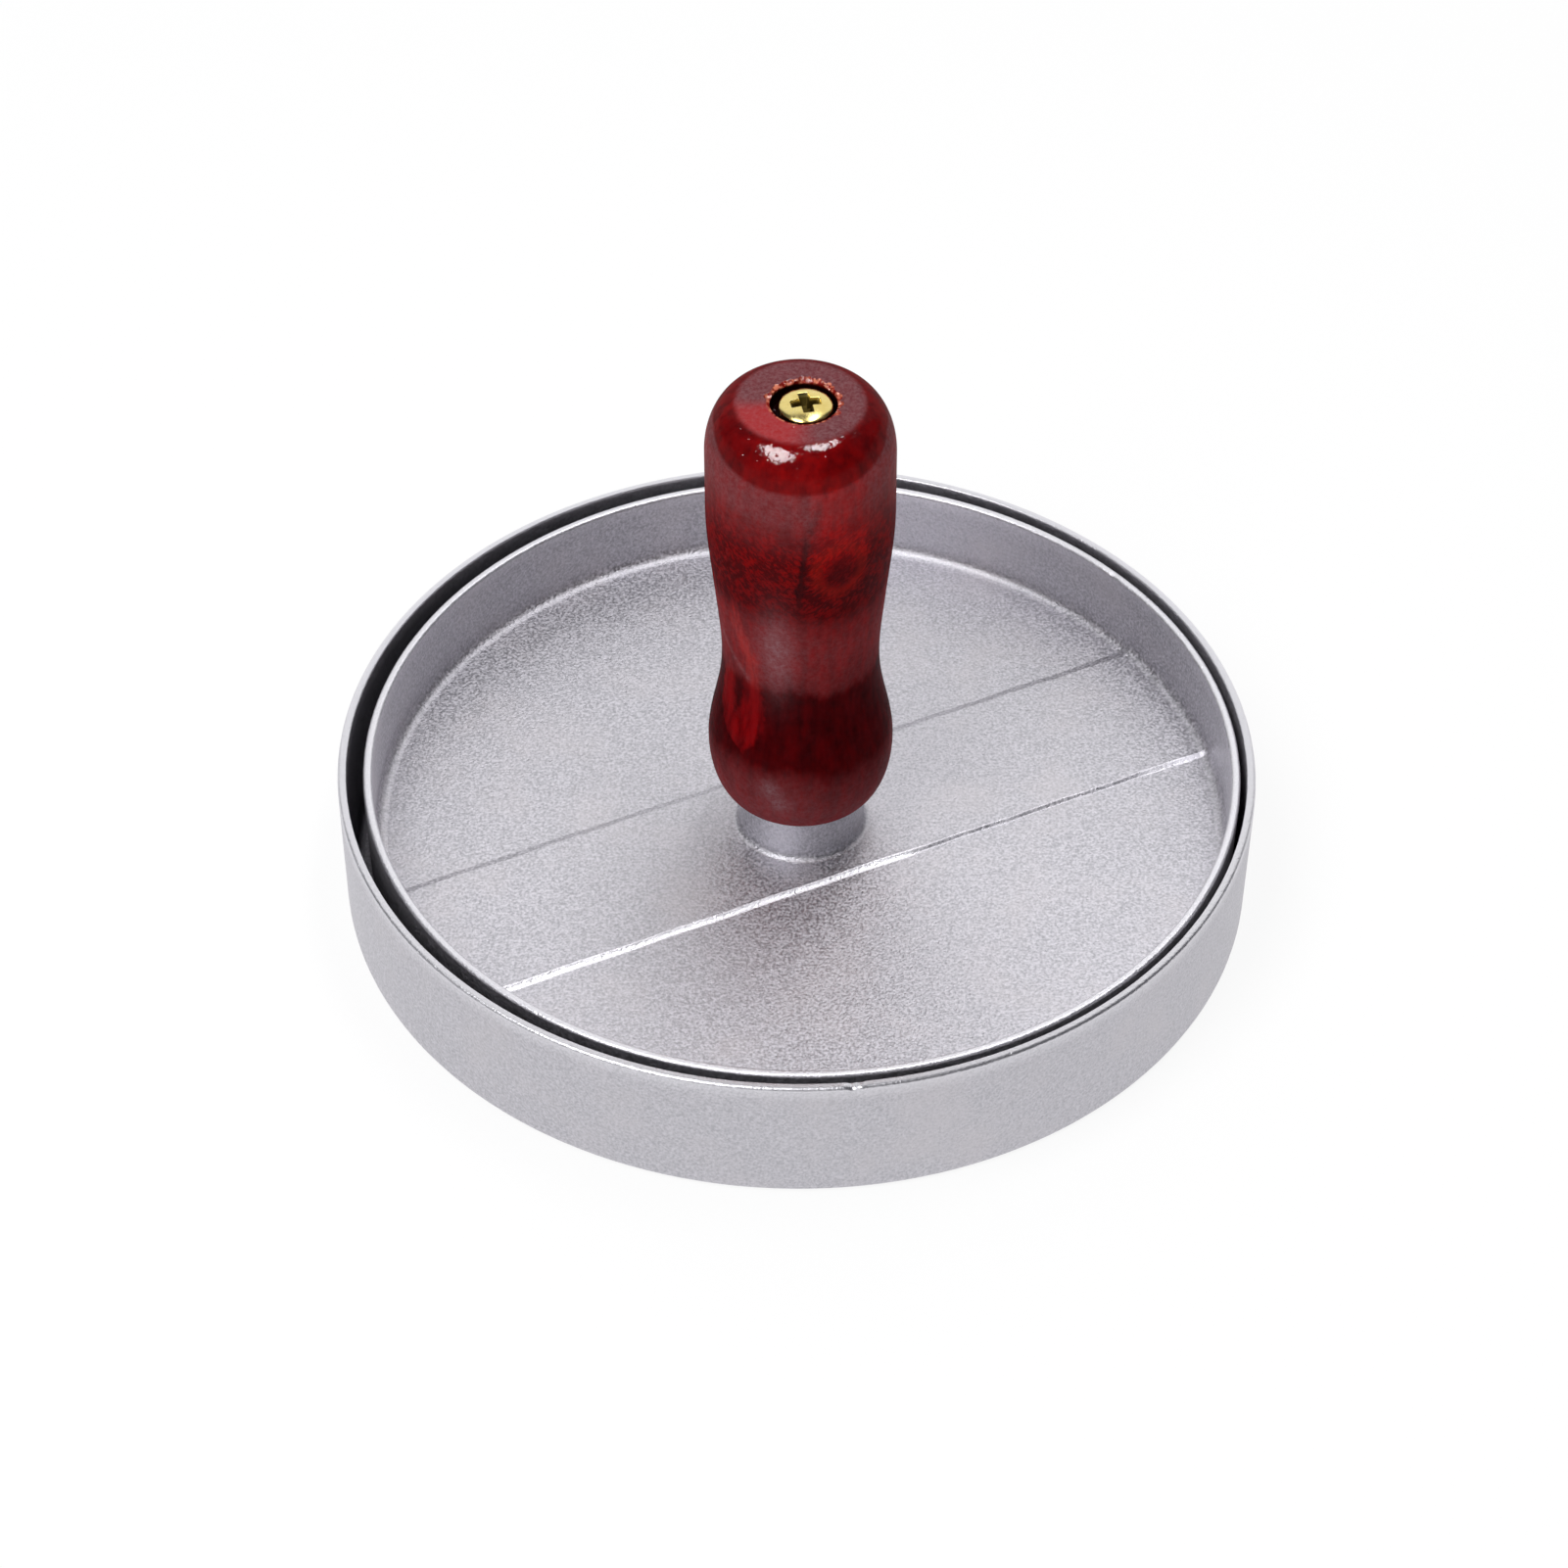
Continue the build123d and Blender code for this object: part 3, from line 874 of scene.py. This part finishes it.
# %% Screw
SCREW_AXIS = ((screw_low + screw_high) / 2)[:2]
HEAD_R = 3.55
HEAD_SIDE = 1.5
HEAD_DOME = 0.8
HEAD_EDGE = COUNTERBORE_FLOOR + HEAD_SIDE
HEAD_TOP = HEAD_EDGE + HEAD_DOME
RECESS_SPAN = 4.3
RECESS_SLOT = 1.5
RECESS_DEPTH = 1.6
RECESS_FLOOR_SHARE = 0.42
RECESS_MIDDLE = 1.05
RECESS_TURN = math.radians(12)
THREAD_R = 2.0
THREAD_PITCH = 0.7
THREAD_DEPTH = 0.28
THREAD_TOP = 34.0
RUN_OUT = 1.5
EDGE_SOFT = 0.07


def softer_min(a, b, soft):
    """The smaller of two heights, blended over a small range so that the edge is rounded."""
    gap = np.clip(0.5 + (b - a) / (2 * soft), 0, 1)
    return b * (1 - gap) + a * gap - soft * gap * (1 - gap)


def recess_height(x, y):
    """Height of the cross recess: its floor at the middle, rising past the dome outside it."""
    c, s = math.cos(RECESS_TURN), math.sin(RECESS_TURN)
    u, v = c * x + s * y, c * y - s * x
    slope = 1 - RECESS_FLOOR_SHARE

    def slot(along, across):
        ends = (RECESS_SPAN / 2 - np.abs(along)) / (RECESS_SPAN / 2 * slope)
        sides = (RECESS_SLOT / 2 - np.abs(across)) / (RECESS_SLOT / 2 * slope)
        return np.minimum(ends, sides)

    inside_slots = np.maximum(slot(u, v), slot(v, u))
    round_middle = (RECESS_MIDDLE - np.hypot(u, v)) / 0.8
    cut = np.minimum(np.maximum(inside_slots, round_middle), 1)
    return HEAD_TOP - RECESS_DEPTH * cut


def tooth(phase):
    """A rolled thread's profile over one turn of phase: 0 at the root, 1 at the rounded crest."""
    return ease(2 * np.abs((phase % 1) - 0.5))


# %% Screw head and thread
screw_angles = np.linspace(0, 2 * math.pi, 192, endpoint=False)
dome_r = np.concatenate(
    [np.linspace(0.06, 2.5, 52), HEAD_R * np.sin(np.radians(np.linspace(46, 90, 16)))]
)
dome = carried_round(np.stack([dome_r, 0 * dome_r], axis=-1), screw_angles)
dome_z = HEAD_EDGE + HEAD_DOME * np.sqrt(np.clip(1 - (dome_r[:, None] / HEAD_R) ** 2, 0, 1))
dome_z = dome_z + 0 * screw_angles
dome[..., 2] = softer_min(dome_z, recess_height(dome[..., 0], dome[..., 1]), EDGE_SOFT)
side = rounded(
    [
        (HEAD_R, HEAD_EDGE - 0.1, 0),
        (HEAD_R, COUNTERBORE_FLOOR, 0.12),
        (THREAD_R, COUNTERBORE_FLOOR, 0.15),
        (THREAD_R, THREAD_TOP + 0.4, 0),
    ]
)
thread_z = np.arange(THREAD_TOP, screw_low[2] + 0.6, -THREAD_PITCH / 6)
thread = carried_round(np.stack([0 * thread_z + THREAD_R, thread_z], axis=-1), screw_angles)
run_out = ease((THREAD_TOP - thread_z) / RUN_OUT)[:, None]
phase = thread_z[:, None] / THREAD_PITCH - screw_angles / (2 * math.pi)
thread[..., :2] *= (1 - THREAD_DEPTH / THREAD_R * run_out * (1 - tooth(phase)))[..., None]
tip = np.array([(1.62, screw_low[2] + 0.3), (1.3, screw_low[2] + 0.05), (0.5, screw_low[2])])
sides = carried_round(divided(side, 6.0), screw_angles)
screw_rings = np.concatenate([dome, sides, thread, carried_round(tip, screw_angles)])
screw_rings[..., :2] += SCREW_AXIS
in_recess = np.zeros(screw_rings.shape[:2])
in_recess[: len(dome)] = np.clip((dome_z - dome[..., 2]) / RECESS_DEPTH, 0, 1)
in_recess = np.concatenate([in_recess.ravel(), [1, 0]])
screw = round_skin("screw_pan_head", screw_rings, downward=True, marks={"in_recess": in_recess})
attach(screw, "plunger")
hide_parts("handle_screw")
print("screw head", HEAD_R * 2, "mm across, thread", THREAD_PITCH, "mm apart")


# %% [markdown]
# ## Painting with nodes
#
# Every finish below is a graph of nodes over object coordinates, so it needs no picture and no
# unwrapping. One function adds a node, sets it and links it. Colours are written as they look on
# screen, in hex, and turned to the linear light that a shader counts in.

# %% Node helper
COLOURS = {"data_type": "RGBA"}
NUMBERS = {"data_type": "FLOAT"}
EASED = {"interpolation_type": "SMOOTHSTEP"}
TIMES = {"operation": "MULTIPLY"}
TIMES_PLUS = {"operation": "MULTIPLY_ADD"}
PLUS = {"operation": "ADD"}


def linear(hex_colour):
    """Linear RGBA from an sRGB hex colour such as #C8C6CB."""
    srgb = np.array([int(hex_colour[i : i + 2], 16) for i in (1, 3, 5)]) / 255
    low, high = srgb / 12.92, ((srgb + 0.055) / 1.055) ** 2.4
    return (*np.where(srgb <= 0.04045, low, high).tolist(), 1.0)


def set_inputs(tree, node, inputs):
    """Gives each input of a node a value or a hex colour, or links it to another node's socket."""
    for key, value in inputs.items():
        if isinstance(value, bpy.types.NodeSocket):
            tree.links.new(value, node.inputs[key])
        else:
            node.inputs[key].default_value = linear(value) if isinstance(value, str) else value


def add_node(tree, kind, settings=None, inputs=None):
    """Adds a shader node of a kind, with settings and inputs, and gives its first live output."""
    node = tree.nodes.new("ShaderNode" + kind)
    for key, value in (settings or {}).items():
        setattr(node, key, value)
    set_inputs(tree, node, inputs or {})
    return next(output for output in node.outputs if output.enabled)


def new_material(name):
    """An empty material with its node tree, its Principled shader and object coordinates."""
    material = bpy.data.materials.new(name)
    material.use_nodes = True
    tree = material.node_tree
    tree.nodes.clear()
    output = tree.nodes.new("ShaderNodeOutputMaterial")
    shader = tree.nodes.new("ShaderNodeBsdfPrincipled")
    tree.links.new(shader.outputs["BSDF"], output.inputs["Surface"])
    place = tree.nodes.new("ShaderNodeTexCoord").outputs["Object"]
    return material, tree, shader, place


# %% [markdown]
# ## Cast aluminium, tumbled
#
# The castings come from the die with a dull skin and are tumbled with stones. That leaves a fine,
# even grain of about 0.1 mm, too fine to show here, so it is drawn at about 0.4 mm. Light from it
# is broad and soft, and long shapes in the room show only as tones. Slow clouds, a centimetre
# wide, are where the metal froze at different times. The rims are rubbed brighter and smoother.

# %% Aluminium colour
aluminium, tree, shader, place = new_material("aluminium_cast_tumbled")
GRAIN_PER_METRE = 2500
CLOUDS_PER_METRE = 95
PITS_PER_METRE = 900
grain = add_node(
    tree, "TexNoise",
    inputs={"Vector": place, "Scale": GRAIN_PER_METRE, "Detail": 2.0, "Roughness": 0.6},
)
clouds = add_node(
    tree, "TexNoise", inputs={"Vector": place, "Scale": CLOUDS_PER_METRE, "Detail": 3.0}
)
speckle = add_node(tree, "MapRange", inputs={"Value": grain, "From Min": 0.35, "From Max": 0.65})
speckled = add_node(tree, "Mix", COLOURS, {"Factor": speckle, "A": "#B1B0B6", "B": "#DEDCE2"})
cloudy = add_node(
    tree, "MapRange", EASED, {"Value": clouds, "From Min": 0.45, "From Max": 0.75, "To Max": 0.3}
)
clouded = add_node(tree, "Mix", COLOURS, {"Factor": cloudy, "A": speckled, "B": "#D8D3D6"})
# Painted shade in the gap between the castings, and the dish's darker tone, mix in a dark grey.
gap_shade_and_tone = add_node(tree, "Attribute", {"attribute_name": "gap_shade_and_tone"}).node.outputs["Fac"]
with_gap_shade_and_tone = add_node(tree, "Mix", COLOURS, {"Factor": gap_shade_and_tone, "A": clouded, "B": "#A5A3AA"})
# Rims rubbed brighter, and a painted highlight along the band's near edge, mix in a pale grey.
polish_and_highlight = add_node(tree, "Attribute", {"attribute_name": "polish_and_highlight"}).node.outputs["Fac"]
rubbed_and_highlit = add_node(tree, "Mix", COLOURS, {"Factor": polish_and_highlight, "A": with_gap_shade_and_tone, "B": "#E9E8ED"})
set_inputs(tree, shader, {"Base Color": rubbed_and_highlit, "Metallic": 1.0})
print("grain", 1000 / GRAIN_PER_METRE, "mm, clouds", round(1000 / CLOUDS_PER_METRE, 1), "mm")

# %% Aluminium surface
dull = add_node(
    tree, "MapRange",
    inputs={"Value": grain, "From Min": 0.4, "From Max": 0.6, "To Min": 0.42, "To Max": 0.62},
)
smooth = add_node(tree, "Mix", NUMBERS, {"Factor": polish_and_highlight, "A": dull, "B": 0.4})
pitted = add_node(tree, "TexVoronoi", inputs={"Vector": place, "Scale": PITS_PER_METRE})
pits = add_node(
    tree, "MapRange", EASED,
    {"Value": pitted, "From Min": 0.05, "From Max": 0.2, "To Min": -0.5, "To Max": 0.0},
)
relief = add_node(tree, "Math", PLUS, {0: grain, 1: pits})
bump = add_node(tree, "Bump", inputs={"Height": relief, "Strength": 0.7, "Distance": 0.0001})
set_inputs(tree, shader, {"Roughness": smooth, "Normal": bump})
for piece in (dish, plate, boss):
    piece.data.materials.append(aluminium)
print("aluminium has", len(tree.nodes), "nodes")

# %% [markdown]
# ## Stained beech under gloss lacquer
#
# The grip is beech, dyed a deep red and sealed with clear lacquer. The dye sinks unevenly, so the
# fibres show as short streaks, a millimetre wide and several long. Over it lies the lacquer, a
# clear coat that mirrors the room sharply. It dries over a grain that is never quite level, and
# that small waviness breaks up the edges of what it mirrors. The light that leaves the wood is all
# dye, so its own gloss is off and the coat does the shining.

# %% Marks and noises of the wood
wood, tree, shader, place = new_material("stained_beech_lacquered")
in_mm = add_node(tree, "VectorMath", {"operation": "SCALE"}, {0: place, "Scale": 1000.0})
marks = {
    mark: add_node(tree, "Attribute", {"attribute_name": mark}).node.outputs["Fac"]
    for mark in figure
}
# Fibres are six times as long as they are wide, and curly ones a little over twice.
along_grain = add_node(tree, "Mapping", inputs={"Vector": in_mm, "Scale": (1.0, 1.0, 0.16)})
curl_place = add_node(
    tree, "CombineXYZ", inputs={"X": marks["curl_across"], "Y": marks["curl_along"]}
)
along_curl = add_node(tree, "Mapping", inputs={"Vector": curl_place, "Scale": (1.0, 0.42, 1.0)})
# Rows of (place, waves in a millimetre, detail, roughness).
NOISES = {
    "streaks": (along_grain, 0.75, 4.0, 0.62),
    "mottle": (in_mm, 0.55, 3.0, 0.6),
    "fray": (in_mm, 1.3, 3.0, 0.5),
    "curl": (along_curl, 1.9, 3.0, 0.68),
    "curdle": (in_mm, 1.6, 4.0, 0.75),
}
noise = {}
for name, (where, waves, detail, roughness) in NOISES.items():
    inputs = {"Vector": where, "Scale": waves, "Detail": detail, "Roughness": roughness}
    noise[name] = add_node(tree, "TexNoise", inputs=inputs)
print("the wood reads", sorted(marks), "and", sorted(noise))

# %% [markdown]
# A mark becomes a share of colour in two moves. A noise is added to its distance, so that its edge
# frays as fibres do. Then a soft step takes it from one share to another. Each move is a loop over
# a table in which a row is one feature.

# %% Frayed edges and soft steps
texture = add_node(
    tree, "Mix", NUMBERS,
    {"Factor": marks["curl_share"], "A": noise["streaks"], "B": noise["curl"]},
)
# Rows of (noise, its strength, what it is added to).
FRAYED = {
    "depth": ("mottle", 0.55, texture),
    "line": ("fray", -1.2, marks["from_line"]),
    "knot": ("curl", -2.6, marks["from_knot"]),
    "tongue": ("fray", 1.4, marks["in_tongue"]),
}
frayed = {}
for name, (wave, strength, mark) in FRAYED.items():
    inputs = {0: noise[wave], 1: strength, 2: mark}
    frayed[name] = add_node(tree, "Math", TIMES_PLUS, inputs)
# Rows of (value, where the step starts and ends, share before it, share after it).
STEPS = {
    "even": (frayed["depth"], 0.45, 1.1, 0.0, 1.0),
    "curly": (frayed["depth"], 0.7, 0.92, 0.0, 1.0),
    "line": (frayed["line"], -0.55, 0.15, 0.8, 0.0),
    "ring_rise": (frayed["knot"], 0.8, 1.9, 0.0, 1.0),
    "ring_fall": (frayed["knot"], 1.9, 3.6, 0.28, 0.0),
    "knot_eye": (frayed["knot"], -0.6, 1.2, 0.7, 0.0),
    "tongue": (frayed["tongue"], 0.4, 1.5, 0.0, 0.75),
    "sap_streaks": (noise["streaks"], 0.35, 0.65, 0.0, 1.0),
    "chips": (noise["fray"], 0.42, 0.68, 0.0, 1.0),
    "bare": (marks["bare"], 0.1, 0.5, 0.0, 0.95),
}
share = {}
for name, (value, start, end, before, after) in STEPS.items():
    step = {"From Min": start, "From Max": end, "To Min": before, "To Max": after}
    share[name] = add_node(tree, "MapRange", EASED, {"Value": value, **step})
print("shares of colour:", sorted(share))

# %% [markdown]
# The lacquer's reflections of the room are painted in: a share of a pale mauve that is mixed into
# the stain, in belts, in a few spots, along one run and over the top face, and a fine noise
# curdles it. Under it the streaks of the stain show less, as through a veil.

# %% Stain, painted reflection and bare wood
streaky = add_node(
    tree, "Mix", NUMBERS, {"Factor": marks["curl_share"], "A": share["even"], "B": share["curly"]}
)
veil = add_node(tree, "Math", TIMES, {0: marks["haze"], 1: 3.5})
stain = add_node(tree, "Mix", NUMBERS, {"Factor": veil, "A": streaky, "B": 0.5})
gum = add_node(tree, "Math", TIMES, {0: share["line"], 1: marks["line_share"]})
knot_ring = add_node(tree, "Math", TIMES, {0: share["ring_rise"], 1: share["ring_fall"]})
curdled = add_node(
    tree, "MapRange",
    inputs={
        "Value": noise["curdle"], "From Min": 0.35, "From Max": 0.65, "To Min": 0.55,
        "To Max": 1.45,
    },
)
reflection_share = add_node(tree, "Math", TIMES, {0: marks["haze"], 1: curdled})
# Rows of (share, tone at 0, tone at 1).
# Each tone runs from dark to light with the painted light and shade.
TONES = {
    "sunk": (marks["dye"], "#2C0002", "#640206"),
    "thin": (marks["dye"], "#4C0104", "#A80806"),
    "sapwood": (marks["dye"], "#8C050A", "#B82C22"),
    "chipped": (share["chips"], "#7A1610", "#D27C60"),
}
tone = {}
for name, (part, dark, light) in TONES.items():
    tone[name] = add_node(tree, "Mix", COLOURS, {"Factor": part, "A": dark, "B": light})
sap_tone = add_node(
    tree, "Mix", COLOURS, {"Factor": share["sap_streaks"], "A": "#600206", "B": tone["sapwood"]}
)
# Rows of (share, colour), each laid over the ones before it.
LAYERS = [
    (stain, tone["thin"]),
    # Painted light on the top face's wedge.
    (marks["wedge"], "#950A0A"),
    (gum, "#240104"),
    (knot_ring, "#A41C0C"),
    (share["knot_eye"], "#480206"),
    (share["tongue"], sap_tone),
    # A pale mauve share paints the lacquer's reflections of the room.
    (reflection_share, "#A08288"),
    (share["bare"], tone["chipped"]),
    # Painted shade down in the counterbore.
    (marks["painted_hole_shade"], "#140203"),
]
colour = tone["sunk"]
for part, upper in LAYERS:
    colour = add_node(tree, "Mix", COLOURS, {"Factor": part, "A": colour, "B": upper})
set_inputs(tree, shader, {"Base Color": colour, "Roughness": 0.5, "Specular IOR Level": 0.0})
print("colour is laid on in", len(LAYERS), "layers")

# %% [markdown]
# The lacquer's relief is the grain below it and a few nibs, the dust that settled while it was
# wet. A cell pattern places the dust, and only the cells of the highest random value have any.

# %% Lacquer
ripple = add_node(
    tree, "Mix", NUMBERS, {"Factor": marks["curl_share"], "A": noise["mottle"], "B": noise["curl"]}
)
dust = add_node(tree, "TexVoronoi", inputs={"Vector": in_mm, "Scale": 1.5})
landed = add_node(
    tree, "MapRange",
    inputs={"Value": dust.node.outputs["Color"], "From Min": 0.7, "From Max": 0.72, "To Max": 0.7},
)
speck = add_node(
    tree, "MapRange", EASED, {"Value": dust, "From Max": 0.35, "To Min": 1.0, "To Max": 0.0}
)
nibs = add_node(tree, "Math", TIMES, {0: speck, 1: landed})
relief = add_node(tree, "Math", PLUS, {0: ripple, 1: nibs})
relief = add_node(tree, "Math", TIMES_PLUS, {0: noise["fray"], 1: 0.35, 2: relief})
level = add_node(tree, "Bump", inputs={"Height": relief, "Strength": 0.7, "Distance": 0.0002})
coat = {"Coat Normal": level, "Coat Weight": 0.1, "Coat Roughness": 0.05, "Coat IOR": 1.5}
set_inputs(tree, shader, coat)
grip.data.materials.append(wood)
print("wood has", len(tree.nodes), "nodes")

# %% [markdown]
# ## Brass plate on steel
#
# The screw is steel with a bright brass plate, a pale greenish yellow. The plate is smooth on the
# dome, which the driver has scuffed a little, and down in the recess its colour turns dark brown
# and its surface rough.

# %% Brass
brass, tree, shader, place = new_material("brass_plated_steel")
in_recess = add_node(tree, "Attribute", {"attribute_name": "in_recess"}).node.outputs["Fac"]
SCUFFS_PER_METRE = 900
tarnish = add_node(
    tree, "TexNoise", inputs={"Vector": place, "Scale": SCUFFS_PER_METRE, "Detail": 3.0}
)
bright = add_node(tree, "Mix", COLOURS, {"Factor": tarnish, "A": "#D9BE6A", "B": "#F2E29A"})
recess_darkening = add_node(
    tree, "MapRange", EASED,
    {"Value": in_recess, "From Min": 0.04, "From Max": 0.4, "To Max": 0.95},
)
darkened_in_recess = add_node(tree, "Mix", COLOURS, {"Factor": recess_darkening, "A": bright, "B": "#46380F"})
scuffed = add_node(
    tree, "MapRange",
    inputs={"Value": tarnish, "From Min": 0.3, "From Max": 0.7, "To Min": 0.16, "To Max": 0.3},
)
rough = add_node(tree, "Mix", NUMBERS, {"Factor": recess_darkening, "A": scuffed, "B": 0.5})
scratches = add_node(
    tree, "Bump", inputs={"Height": tarnish, "Strength": 0.2, "Distance": 0.00005}
)
plating = {"Base Color": darkened_in_recess, "Metallic": 1.0, "Roughness": rough, "Normal": scratches}
set_inputs(tree, shader, plating)
screw.data.materials.append(brass)
print("brass has", len(tree.nodes), "nodes")

# %% [markdown]
# ## Table and room
#
# The press stands on white paper. Lacquer and metal show the room round them, so the room matters
# as much as the lamps: a white backdrop behind the press, and a dark side behind the camera.

# %% Stage
def open_sheet(name, points):
    """A sheet over a grid of points."""
    quads = grid_quads(index_grid(points))
    return new_piece(name, points.reshape(-1, 3), [quads.reshape(-1, 4)])


def flat_points(size, level):
    """A square grid of points at a level."""
    x, y = np.meshgrid(np.linspace(-size, size, 9), np.linspace(-size, size, 9))
    return np.stack([x, y, np.full_like(x, level)], axis=-1)


TABLE_HALF = 3000
TABLE_LEVEL = -0.05
table = open_sheet("table_paper", flat_points(TABLE_HALF, TABLE_LEVEL))
PAPER_GLOW = 0.88
FIBRES_PER_METRE = 1500
paper, tree, shader, place = new_material("white_paper")
fibres = add_node(tree, "TexNoise", inputs={"Vector": place, "Scale": FIBRES_PER_METRE})
pulp = add_node(tree, "Mix", COLOURS, {"Factor": fibres, "A": "#F2F2F2", "B": "#FBFBFB"})
set_inputs(tree, shader, {"Base Color": pulp, "Roughness": 0.9, "Specular IOR Level": 0.0})
glow = add_node(tree, "Emission", inputs={"Color": (1, 1, 1, 1), "Strength": 1.0})
path = add_node(tree, "LightPath").node
seen = add_node(
    tree, "Math", {"operation": "MAXIMUM"},
    {0: path.outputs["Is Camera Ray"], 1: path.outputs["Is Glossy Ray"]},
)
part = add_node(tree, "Math", TIMES, {0: seen, 1: PAPER_GLOW})
mix = add_node(tree, "MixShader", inputs={0: part, 1: shader.outputs["BSDF"], 2: glow})
tree.links.new(mix, tree.nodes["Material Output"].inputs["Surface"])
table.data.materials.append(paper)
print("paper is", PAPER_GLOW, "white to the eye and", round(1 - PAPER_GLOW, 2), "lit by the lamps")


# %% Unlit side of the room
def sphere_points(radius, azimuths, elevations):
    """Part of a sphere round the press, with azimuths counted from the front."""
    az = np.radians(np.linspace(*azimuths, 49))
    el = np.radians(np.linspace(*elevations, 25))[:, None]
    x, y, z = np.sin(az) * np.cos(el), -np.cos(az) * np.cos(el), np.sin(el) + 0 * az
    return radius * np.stack([x, y, z], axis=-1)


CLOTH_R = 2500
CLOTH_SPAN = (-130, 130)
CLOTH_RISE = (4, 118)
room = open_sheet("unlit_side_of_room", sphere_points(CLOTH_R, CLOTH_SPAN, CLOTH_RISE))
room.visible_camera = False
room.visible_shadow = False
black, tree, shader, place = new_material("unlit_cloth")
set_inputs(tree, shader, {"Base Color": "#5C5C66", "Roughness": 1.0, "Specular IOR Level": 0.0})
room.data.materials.append(black)
print("unlit side covers azimuths", CLOTH_SPAN, "and elevations", CLOTH_RISE)

# %% [markdown]
# ## A white room
#
# The world is plain white at strength 1. It fills the shadows and stands behind the press as the
# backdrop. The dark cloth above takes its place wherever the press should mirror an unlit room.

# %% World
world = bpy.data.worlds.new("white_backdrop")
bpy.context.scene.world = world
world.use_nodes = True
tree = world.node_tree
background = tree.nodes["Background"]
set_inputs(tree, background, {"Color": (1, 1, 1, 1), "Strength": 1.0})
print("world strength", background.inputs["Strength"].default_value)


# %% [markdown]
# ## Lamps
#
# Two soft lamps light the press: a tall one at the left of the camera and a narrow one overhead.
# The narrow one is flagged off the dish, as a studio does with a card, because it would flatten
# the dish's wall. Light linking is that card. Gloss lacquer shows the same two lamps as small
# windows much brighter than a white sheet, and a thin coat mirrors only a few hundredths of them.
# Two further lamps in the same places stand for that part of their light. They reach the grip
# alone, and only its gloss, so the wood's own colour keeps the plain level.

# %% Lamps
LAMP_AIM = Vector((0, 0, 0.05))
LEFT = (-41, 56, 28)
OVERHEAD = (106, 76.5, 80)


def softbox(name, direction, distance, width, height, level, diffuse=True):
    """An oval lamp that faces the press from an (azimuth, elevation, roll) in degrees.

    Its power is pi times its area times its level, so a level of 1 looks as bright as white.
    Roll turns it about its own line of sight.
    """
    az, el, roll = (math.radians(part) for part in direction)
    away = Vector((math.sin(az) * math.cos(el), -math.cos(az) * math.cos(el), math.sin(el)))
    data = bpy.data.lights.new(name, "AREA")
    data.shape = "ELLIPSE"
    data.size, data.size_y = width, height
    data.energy = math.pi * (math.pi / 4 * width * height) * level
    lamp = bpy.data.objects.new(name, data)
    bpy.context.scene.collection.objects.link(lamp)
    lamp.rotation_mode = "QUATERNION"
    lamp.rotation_quaternion = away.to_track_quat("Z", "Y") @ Quaternion((0, 0, 1), roll)
    lamp.location = away * distance + LAMP_AIM
    lamp.visible_diffuse = diffuse
    return lamp


softbox("key_left", LEFT, 1.0, 0.50, 0.98, 6.4)
strip = softbox("strip_top", OVERHEAD, 1.0, 0.25, 0.84, 8.0)
plate_side = bpy.data.collections.new("all_but_the_dish")
for piece in (plate, boss, grip, screw, table):
    plate_side.objects.link(piece)
strip.light_linking.receiver_collection = plate_side

lacquer_only = bpy.data.collections.new("lacquer_only")
lacquer_only.objects.link(grip)
for glint in (
    softbox("glint_left", LEFT, 1.01, 0.44, 0.84, 150, diffuse=False),
    softbox("glint_top", OVERHEAD, 1.01, 0.25, 0.62, 165, diffuse=False),
):
    glint.light_linking.receiver_collection = lacquer_only

# %% [markdown]
# ## Camera
#
# The camera stands in front and looks down by about 43 degrees. Its place, aim and lens were found
# by fitting the outlines of both rims and of the grip, which is why the numbers aren't round.

# %% Camera
CAMERA_PLACE = np.array([0.0, -538.84, 518.15])
CAMERA_AIM = np.array([-1.705, 0.0, 14.823])
CAMERA_ROLL = math.radians(0.4743)
FOCAL_PIXELS = 5500
FRAME_PIXELS = 1601
SENSOR_MM = 36
camera_data = bpy.data.cameras.new("camera")
camera_data.sensor_width = SENSOR_MM
camera_data.lens = FOCAL_PIXELS / FRAME_PIXELS * SENSOR_MM
camera = bpy.data.objects.new("camera", camera_data)
bpy.context.scene.collection.objects.link(camera)
bpy.context.scene.camera = camera
look = Vector(CAMERA_AIM - CAMERA_PLACE)
camera.rotation_mode = "QUATERNION"
camera.rotation_quaternion = look.to_track_quat("-Z", "Y") @ Quaternion((0, 0, 1), CAMERA_ROLL)
camera.location = Vector(CAMERA_PLACE * MM)
bpy.context.scene.view_settings.view_transform = "Standard"
print("camera", round(look.length), "mm away, lens", round(camera_data.lens, 1), "mm")
